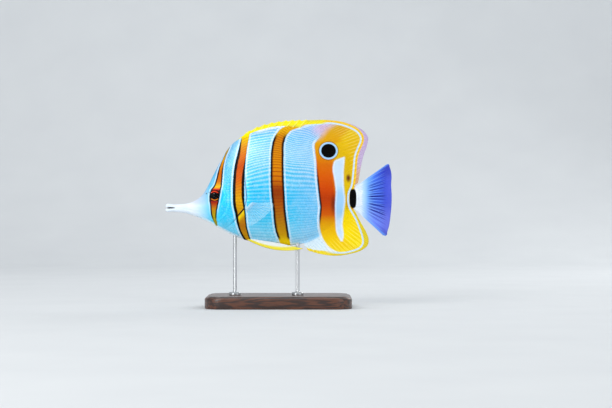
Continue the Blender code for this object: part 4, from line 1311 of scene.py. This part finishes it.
    # Everything behind the rear zone's edge: copper in front, yellow behind it
    depth = w.both(rear_zone, -1.0)
    rear_core = w.ramp(height, -34, 60, (
        (-30, "f6dc04"), (-22, "f2cc06"), (-15, "eeb802"), (-9.5, "e29a02"), (-5, "d25e02"), (1, "c04200"),
        (6, "b83a02"), (12, "cc4602"), (20, "d65a02"), (28, "d66c02"), (35, "d98c02"), (44, "dca00c"),
        (54, "d8a81c"),
    ))  # fmt: skip
    rear_yellow = w.ramp(height, -34, 60, (
        (-30, "fbe504"), (-12, "f8da02"), (0, "eccb06"), (14, "dcb806"), (30, "dcb404"), (40, "e0b60e"),
        (54, "e2c312"),
    ))  # fmt: skip
    rear = w.mix(w.step(depth, 9.5, 14.5), rear_core, rear_yellow)
    dark_front = w.both(w.near(depth, 0.3, 1.25), w.step(height, -14, -5), w.step(height, 30, 16))
    rear = w.mix(dark_front, rear, "1e0806")
    rear = w.mix(w.both(w.oval(distance, height, (111.2, 1.8), (1.6, 5.2), 0.8), 0.65), rear, "4a1606")
    rear = w.mix(w.both(w.oval(distance, height, (120.9, 19.2), (1.3, 2.1), 0.75), 1.0), rear, "6a3004")
    rear = w.mix(w.both(w.oval(distance, height, (120.2, 4.5), (0.9, 5.5), 0.6), 0.6), rear, "b86a04")
    crisp, faint = w.step(wavered(rear_zone), 0.45, -0.5), w.step(wavered(rear_zone), 2.6, -4.0)
    fading = w.step(height, 42, 49)
    in_rear = w.plus(w.both(crisp, w.minus(1.0, fading)), w.both(faint, fading))
    shade = w.mix(in_rear, shade, rear)
    pale = w.mix(w.both(w.near(height, 3, 14), 0.8), "c9e0f6", "93ccf6")
    pale = w.mix(w.both(w.near(streak, -0.6, 0.8), 0.5), pale, "eaf3fd")
    shade = w.mix(w.step(wavered(streak), 0.5, -0.7), shade, pale)

    # Eyespot with its pale ring
    shade = w.mix(w.both(w.near(spot, 1.6, 0.5), 0.5), shade, "5a4414")
    shade = w.mix(w.step(spot, EYESPOT_RING + 0.2, EYESPOT_RING - 0.2), shade, "a6d2fa")
    shade = w.mix(w.step(spot, 0.25, -0.15), shade, "020203")

    # Margins of the fins: yellow before the pale line, clear lilac behind and above it
    in_reach = w.larger(w.step(distance, 93, 112), w.both(w.step(distance, 89, 95), w.step(height, 20, 30)))
    lilac = w.both(w.step(line, 1.7, 2.4), w.step(height, 4, 12))
    border = w.mix(w.step(height, 14, -10), "f0c40a", "dcc802")
    shade = w.mix(w.both(w.step(line, -0.1, 0.5), w.step(distance, 90, 96)), shade, border)
    lilac_tone = w.mix(w.step(height, 30, 18), "c4aee0", "dca678")
    shade = w.mix(w.both(lilac, w.step(distance, 108, 124)), shade, lilac_tone)
    shade = w.mix(w.both(w.near(line, 0.0, 0.8), in_reach), shade, "c4e4fd")
    shade = w.mix(w.both(w.step(wavered(strip), -0.3, 0.25), w.step(distance, 108, 102)), shade, "efe400")

    hem_width = w.plus(1.8, w.both(w.step(distance, 92, 105), 1.7))
    hem = w.step(w.minus(rim, hem_width), 0.5, -0.3)
    hem = w.both(hem, w.step(height, -20, -24), w.step(distance, 89, 91), w.step(distance, 114, 104))
    shade = w.mix(hem, shade, "f6de06")

    # Dark spot on the tail stalk, with a white line before it and copper under it
    from_middle = w.away(height, STALK_MIDDLE)
    on_stalk = w.larger(w.step(distance, 124.6, 125.6), w.step(from_middle, 5.6, 4.6))
    on_stalk = w.both(on_stalk, w.both(w.step(distance, 121.2, 122.0), w.step(from_middle, 8, 6.5)))
    shade = w.mix(on_stalk, shade, "eaf3fc")
    tip = w.both(w.both(w.near(distance, 124.4, 1.8), w.near(height, -0.4, 1.6)), w.step(stalk, -0.4, 0.2))
    shade = w.mix(tip, shade, "cc640a")
    shade = stalk_spot(w, shade, stalk, distance)
    w.feed(out["Color"], shade)
    edges = w.larger(w.near(gill_band, -0.5, 0.8), w.near(flank_band, -0.5, 0.8))
    dark = w.larger(w.larger(w.step(spot, 0.25, -0.15), w.step(stalk, 0.2, -0.2)), edges)
    ground_mask = w.both(w.step(gill_band, 0.0, 0.6), w.step(flank_band, 0.0, 0.6))
    ground_mask = w.both(ground_mask, w.both(w.step(eye_band, 0.0, 0.6), w.step(rear_zone, 0.0, 0.6)))
    w.feed(out["Ground"], ground_mask)
    gloss = w.plus(GLOSS_PLAIN, w.both(ground_mask, GLOSS_ON_BLUE))
    w.feed(out["Gloss"], w.minus(gloss, w.both(dark, GLOSS_OFF_BLACK)))
    return group


def grain_group():
    """Fine skin grain and small scales, as a height for bump."""
    group, w, given, out = new_group(
        "skin_grain",
        [("Place", "NodeSocketVector", None), ("Cell", "NodeSocketFloat", 0.9)],
        [("Height", "NodeSocketFloat"), ("Fine", "NodeSocketFloat")],
    )
    size = w.maths("DIVIDE", 1 / MM, given["Cell"])
    cells = w.node("ShaderNodeTexVoronoi", Vector=given["Place"], Scale=size, Randomness=0.55)
    fine = w.noise(given["Place"], 0.25, 3)
    bumps = w.minus(1.0, cells.outputs["Distance"])
    w.feed(out["Height"], w.plus(w.both(bumps, 0.7), w.both(fine, 0.3)))
    w.feed(out["Fine"], fine)
    return group


def gloss_group():
    """Roughness that changes a little from patch to patch."""
    group, w, given, out = new_group(
        "uneven_gloss",
        [
            ("Place", "NodeSocketVector", None), ("Patch", "NodeSocketFloat", 1.0),
            ("Low", "NodeSocketFloat", 0.3), ("Spread", "NodeSocketFloat", 0.2),
        ],
        [("Roughness", "NodeSocketFloat")],
    )  # fmt: skip
    patches = w.noise(given["Place"], given["Patch"])
    w.feed(out["Roughness"], w.plus(given["Low"], w.both(patches, given["Spread"])))
    return group


def joints_group():
    """The joints of the soft rays, as a height for bump."""
    number = "NodeSocketFloat"
    group, w, given, out = new_group(
        "ray_joints", [("Crest", number, 0.0), ("Reach", number, 0.0), ("Turns", number, 190.0)],
        [("Height", number)],
    )  # fmt: skip
    joints = w.maths("SINE", w.both(given["Reach"], given["Turns"]))
    w.feed(out["Height"], w.both(w.both(w.step(given["Crest"], 0.4, 0.9), joints), 0.3))
    return group


def new_material(name):
    material = bpy.data.materials.new(name)
    material.use_nodes = True
    wires = Wiring(material.node_tree)
    shader = material.node_tree.nodes["Principled BSDF"]
    return material, wires, shader


def set_shader(shader, **values):
    for name, value in values.items():
        shader.inputs[name.replace("_", " ")].default_value = value


def bump(wires, shader, height, depth):
    made = wires.node("ShaderNodeBump", Height=height, Distance=depth * MM, Strength=1.0)
    wires.feed(shader.inputs["Normal"], made.outputs[0])


def roughen(wires, shader, low, spread, pattern):
    wires.feed(shader.inputs["Roughness"], wires.plus(low, wires.both(pattern, spread)))


def finish_fin(w, shader, groups, place, shade, patch, low, spread):
    """Gives a fin its colour and uneven gloss, and returns its fine grain for the bump."""
    w.feed(shader.inputs["Base Color"], shade)
    gloss = use_group(w, groups["gloss"], Place=place, Patch=patch, Low=low, Spread=spread)
    w.feed(shader.inputs["Roughness"], gloss["Roughness"])
    return use_group(w, groups["grain"], Place=place, Cell=0.5)


def paint_skin(groups):
    material, w, shader = new_material("fish_skin")
    place = w.place()
    looks = use_group(w, groups["markings"], Place=place)
    mouth, nostrils, slit = w.triple("hollow_shade")
    # Painted shade: the mouth's lining near-black
    shade = w.mix(w.both(mouth, 0.95), looks["Color"], "1c0a0c")
    # Painted shade: the nostril pits dark
    shade = w.mix(w.both(nostrils, 0.75), shade, "1a0d10")
    # Painted shade: the gill slit a dark blue
    shade = w.mix(w.both(slit, 0.45), shade, "2c4a66")
    w.feed(shader.inputs["Base Color"], shade)
    skin = use_group(w, groups["grain"], Place=place, Cell=0.9)
    roughen(w, shader, 0.26, 0.2, skin["Fine"])
    w.feed(shader.inputs["Coat Weight"], looks["Gloss"])
    set_shader(shader, Coat_Roughness=0.18, Specular_IOR_Level=0.05)
    bump(w, shader, skin["Height"], 0.16)
    return material


def paint_scales(groups):
    material, w, shader = new_material("fish_scales")
    place = w.place()
    along, across, chance = w.triple("scale")
    looks = use_group(w, groups["markings"], Place=place)
    tint = w.mix(w.both(w.step(chance, 0.5, 1.0), w.both(looks["Ground"], 0.1)), looks["Color"], "d9e8fb")
    rim = w.both(w.step(along, 0.86, 0.98), w.both(looks["Ground"], 0.3))
    w.feed(shader.inputs["Base Color"], w.mix(rim, tint, "4fb2dc"))
    roughen(w, shader, 0.24, 0.16, chance)
    w.feed(shader.inputs["Metallic"], w.both(looks["Ground"], 0.22))
    w.feed(shader.inputs["Coat Weight"], looks["Gloss"])
    set_shader(shader, Coat_Roughness=0.18, Specular_IOR_Level=0.05)
    combs = w.maths("SINE", w.both(across, 26.0))
    skin = use_group(w, groups["grain"], Place=place, Cell=0.35)
    bump(w, shader, w.plus(w.both(combs, 0.4), skin["Fine"]), 0.012)
    return material


def paint_soft_fin(groups):
    material, w, shader = new_material("yellow_fin")
    place = w.place()
    _, reach, crest = w.triple("fin")
    looks = use_group(w, groups["markings"], Place=place, Row_Strength=0.4)
    line = w.triple("edges")[0]
    height = w.triple("place")[1]
    rays = w.both(w.step(crest, 0.15, 0.9), w.step(reach, 0.25, 0.6))
    shade = w.mix(w.both(rays, 0.16), looks["Color"], "fff2a8")
    gaps = w.both(w.step(crest, 0.25, 0.02), w.step(reach, 0.3, 0.7))
    shade = w.mix(w.both(gaps, 0.16), shade, "a86a08")
    skin = finish_fin(w, shader, groups, place, shade, 2, 0.32, 0.15)
    clear = w.both(w.step(line, 1.6, 3.2), w.step(height, 8, 14))
    w.feed(shader.inputs["Alpha"], w.minus(1.0, w.both(clear, 0.3)))
    set_shader(shader, Coat_Weight=0.12, Coat_Roughness=0.15, Specular_IOR_Level=0.06)
    joints = use_group(w, groups["joints"], Crest=crest, Reach=reach, Turns=190.0)
    bump(w, shader, w.plus(joints["Height"], skin["Fine"]), 0.03)
    return material


def paint_spiny_fin(groups):
    material, w, shader = new_material("spiny_fin")
    place = w.place()
    _, reach, crest = w.triple("fin")
    shade = w.mix(w.step(reach, 0.2, 0.5), "d8cf30", "f2e600")
    shade = w.mix(w.both(w.step(crest, 0.5, 1.3), 0.5), shade, "fff7a0")
    shade = w.mix(w.both(w.step(w.noise(place, 3, 3), 0.5, 0.7), 0.3), shade, "c8b800")
    skin = finish_fin(w, shader, groups, place, shade, 1, 0.3, 0.2)
    set_shader(shader, Coat_Weight=0.15, Coat_Roughness=0.12, Specular_IOR_Level=0.25)
    bump(w, shader, skin["Height"], 0.03)
    return material


def paint_pelvic_fin(groups):
    material, w, shader = new_material("pelvic_fin")
    place = w.place()
    share, _, crest = w.triple("fin")
    shade = w.mix(w.step(share, 0.28, 0.62), "f6e800", "eef4f4")
    shade = w.mix(w.both(w.step(crest, 0.3, 1.0), 0.3), shade, "fffbe0")
    skin = finish_fin(w, shader, groups, place, shade, 1, 0.3, 0.2)
    set_shader(shader, Coat_Weight=0.15, Coat_Roughness=0.12, Specular_IOR_Level=0.25)
    bump(w, shader, skin["Fine"], 0.02)
    return material


def paint_tail_fin(groups):
    material, w, shader = new_material("tail_fin")
    place = w.place()
    share, reach, crest = w.triple("fin")
    distance = w.triple("place")[0]
    shade = w.ramp(distance, 120, 151, (
        (122, "e6edf2"), (129.2, "e0eef8"), (131.4, "b0d8fb"), (134, "76b0fa"), (138, "4a7cf2"),
        (142, "3f66ec"), (145, "4054dc"), (150, "5664e0"),
    ))  # fmt: skip
    shade = w.mix(w.both(w.step(share, 0.55, 0.85), w.both(w.step(distance, 128, 136), 0.4)), shade, "8f98f8")
    rims = w.larger(w.step(share, 0.2, 0.05), w.step(share, 0.9, 0.98))
    shade = w.mix(w.both(rims, w.both(w.step(distance, 137, 145), 0.6)), shade, "2c34b4")
    between = w.both(w.step(crest, 0.5, 0.08), w.step(distance, 132.5, 137), w.step(distance, 147, 143))
    middle = w.both(w.step(share, 0.06, 0.2), w.step(share, 0.95, 0.8))
    uneven = w.noise(w.node("ShaderNodeCombineXYZ", X=share).outputs[0], 55, 1)
    between = w.both(between, w.plus(0.35, w.step(uneven, 0.42, 0.62)))
    shade = w.mix(w.both(between, w.both(middle, 0.85)), shade, "1c268c")
    shade = w.mix(w.both(w.step(crest, 0.45, 1.0), w.both(w.step(distance, 148, 138), 0.5)), shade, "9cc8fd")
    edge_rays = w.larger(w.step(share, 0.035, 0.015), w.step(share, 0.96, 0.985))
    shade = w.mix(w.both(edge_rays, w.both(w.step(distance, 130, 136), 0.7)), shade, "6aa2f8")
    stalk = w.triple("edges")[1]
    shade = stalk_spot(w, shade, stalk, distance)
    skin = finish_fin(w, shader, groups, place, shade, 2, 0.3, 0.16)
    w.feed(shader.inputs["Alpha"], w.minus(1.0, w.both(w.step(distance, 138, 149), 0.12)))
    set_shader(shader, Coat_Weight=0.12, Coat_Roughness=0.15, Specular_IOR_Level=0.06)
    joints = use_group(w, groups["joints"], Crest=crest, Reach=reach, Turns=230.0)
    bump(w, shader, w.plus(joints["Height"], skin["Fine"]), 0.03)
    return material


def paint_pectoral_fin(groups):
    material, w, shader = new_material("pectoral_fin")
    place = w.place()
    _, reach, crest = w.triple("fin")
    shade = w.mix(w.step(crest, 0.2, 0.9), "bfe6f6", "f2f8fb")
    skin = finish_fin(w, shader, groups, place, shade, 1, 0.22, 0.16)
    ray = w.both(w.step(crest, 0.1, 0.8), w.minus(0.36, w.both(reach, 0.24)))
    ray = w.larger(ray, w.both(w.step(reach, 0.2, 0.02), 0.8))
    w.feed(shader.inputs["Alpha"], w.maths("ADD", 0.05, ray, clamp=True))
    set_shader(shader, Coat_Weight=0.3, Coat_Roughness=0.1)
    bump(w, shader, skin["Fine"], 0.02)
    return material


def paint_eye():
    """Black pupil, and an iris that carries the band: copper above and below, dark before and behind."""
    material, w, shader = new_material("fish_eye")
    place = w.place()
    radius, _, up = w.triple("eye")
    spokes = w.noise(place, 0.5, 4)
    upright = w.maths("ABSOLUTE", up)
    iris = w.mix(w.both(w.step(upright, 0.45, 0.9), w.step(spokes, 0.2, 0.6)), "0a0303", "9c2c0a")
    oval = w.plus(radius, w.both(w.step(upright, 0.35, 1.0), 0.3))
    arc = w.mix(w.step(up, -0.2, 0.2), "f08a14", "e83c1c")
    iris = w.mix(w.both(w.near(oval, 3.12, 0.36), w.step(upright, 0.5, 0.8)), iris, arc)
    shade = w.mix(w.step(oval, 2.82, 2.7), iris, "010101")
    w.feed(shader.inputs["Base Color"], shade)
    roughen(w, shader, 0.3, 0.3, spokes)
    set_shader(shader, Specular_IOR_Level=0.05)
    bump(w, shader, w.both(spokes, w.step(radius, 2.7, 2.9)), 0.03)
    return material


def paint_cornea():
    """Clear and wet: it shows what is behind it and mirrors the lamps."""
    material = bpy.data.materials.new("clear_cornea")
    material.use_nodes = True
    tree = material.node_tree
    tree.nodes.clear()
    w = Wiring(tree)
    clear = w.node("ShaderNodeBsdfTransparent")
    gloss = w.node("ShaderNodeBsdfGlossy", Roughness=0.08)
    facing = w.both(w.node("ShaderNodeFresnel", IOR=1.36).outputs[0], 0.3)
    mixed = w.node("ShaderNodeMixShader")
    for socket, value in zip(mixed.inputs, (facing, clear.outputs[0], gloss.outputs[0])):
        w.feed(socket, value)
    w.node("ShaderNodeOutputMaterial", Surface=mixed.outputs[0])
    return material


def paint_wood():
    """Dark hardwood: long grain, pores and a satin varnish."""
    material, w, shader = new_material("stand_wood")
    place = w.place()
    figure = w.noise(w.stretched(place, (0.12, 1.0, 1.0)), 9, 4, 0.6)
    rings = w.maths("SINE", w.both(figure, 46.0))
    shade = w.mix(w.step(rings, -0.9, 0.9), "2c140a", "5a2f18")
    fine = w.noise(w.stretched(place, (0.05, 1.0, 1.0)), 0.7, 3)
    shade = w.mix(w.both(w.step(fine, 0.5, 0.75), 0.5), shade, "1a0b05")
    w.feed(shader.inputs["Base Color"], shade)
    roughen(w, shader, 0.3, 0.25, fine)
    set_shader(shader, Coat_Weight=0.4, Coat_Roughness=0.18)
    bump(w, shader, w.plus(w.both(rings, 0.15), fine), 0.05)
    return material


def paint_steel():
    """Rods brushed round their length."""
    material, w, shader = new_material("stand_steel")
    place = w.place()
    scratches = w.noise(w.stretched(place, (1.0, 1.0, 6.0)), 0.9, 4, 0.7)
    w.feed(shader.inputs["Base Color"], w.mix(scratches, "b4b7b9", "cdd0d2"))
    roughen(w, shader, 0.24, 0.1, scratches)
    set_shader(shader, Metallic=1.0)
    bump(w, shader, scratches, 0.003)
    return material


# Studio


def lay_paper():
    """A pale floor that sweeps up behind the stand."""
    material, w, shader = new_material("studio_paper")
    place = w.place()
    w.feed(shader.inputs["Base Color"], w.mix(w.noise(place, 60, 2), "cdd1d4", "d5d9db"))
    set_shader(shader, Roughness=0.85)
    floor_end = PAPER_BACK - PAPER_BEND
    sweep = [(PAPER_FRONT, 0.0), (floor_end, 0.0)]
    for t in np.linspace(0.08, math.pi / 2, 20):
        sweep.append((floor_end + PAPER_BEND * math.sin(t), PAPER_BEND * (1 - math.cos(t))))
    sweep.append((PAPER_BACK, PAPER_TOP))
    points = np.array([[(x, y, z) for x in (-PAPER_HALF_WIDTH, PAPER_HALF_WIDTH)] for y, z in sweep])
    index = np.arange(len(sweep) * 2).reshape(-1, 2)
    paper = make_mesh("studio_floor", points, grid_faces(index, flip=True))
    paper.data.materials.append(material)


def hang_lamps():
    for name, at, size, watts, tone in LAMPS:
        light = bpy.data.lights.new(name, "AREA")
        light.size, light.energy, light.color = size, watts, tone
        lamp = bpy.data.objects.new(name, light)
        lamp.location = at
        lamp.visible_camera = False
        aim = Vector(BACKDROP_AIM if name == "backdrop" else LAMP_AIM)
        lamp.rotation_euler = (aim - Vector(at)).to_track_quat("-Z", "Y").to_euler()
        bpy.context.scene.collection.objects.link(lamp)


def fill_air():
    """Even soft light from all round."""
    world = bpy.data.worlds.new("studio_air")
    world.use_nodes = True
    air = world.node_tree.nodes["Background"].inputs
    air["Color"].default_value = AIR_COLOUR
    air["Strength"].default_value = AIR_STRENGTH
    bpy.context.scene.world = world


def place_camera():
    """The photo's view: level, from the fish's left, with the fish as large in the picture."""
    lens = bpy.data.cameras.new("camera")
    lens.sensor_width = SENSOR
    lens.lens = SENSOR * CAMERA_DISTANCE / (PHOTO_WIDTH * PIXEL)
    lens.clip_start = 0.01
    camera = bpy.data.objects.new("camera", lens)
    camera.location = (CAMERA_ACROSS, -CAMERA_DISTANCE, CAMERA_UP)
    camera.rotation_euler = (math.pi / 2, 0, 0)
    bpy.context.scene.collection.objects.link(camera)
    bpy.context.scene.camera = camera
    bpy.context.scene.view_settings.view_transform = "Standard"


groups = {
    "markings": markings_group(), "grain": grain_group(), "gloss": gloss_group(), "joints": joints_group(),
}  # fmt: skip
make_skin(paint_skin(groups))
scale_paint = paint_scales(groups)
scales, draws = scale_places()
for side_name, side_sign in SIDES:
    make_scales(side_name, side_sign, scales, draws, scale_paint)
make_soft_fins(paint_soft_fin(groups))
make_spiny_fin(paint_spiny_fin(groups))
make_tail_fin(paint_tail_fin(groups))
pectoral_paint, pelvic_paint = paint_pectoral_fin(groups), paint_pelvic_fin(groups)
eye_paint, cornea_paint = paint_eye(), paint_cornea()
for side_name, side_sign in SIDES:
    make_pectoral_fin(side_name, side_sign, pectoral_paint)
    make_pelvic_fin(side_name, side_sign, pelvic_paint)
    make_eye(side_name, side_sign, eye_paint, cornea_paint)
make_stand_base(paint_wood())
make_stand_rods(paint_steel())
lay_paper()
hang_lamps()
fill_air()
place_camera()
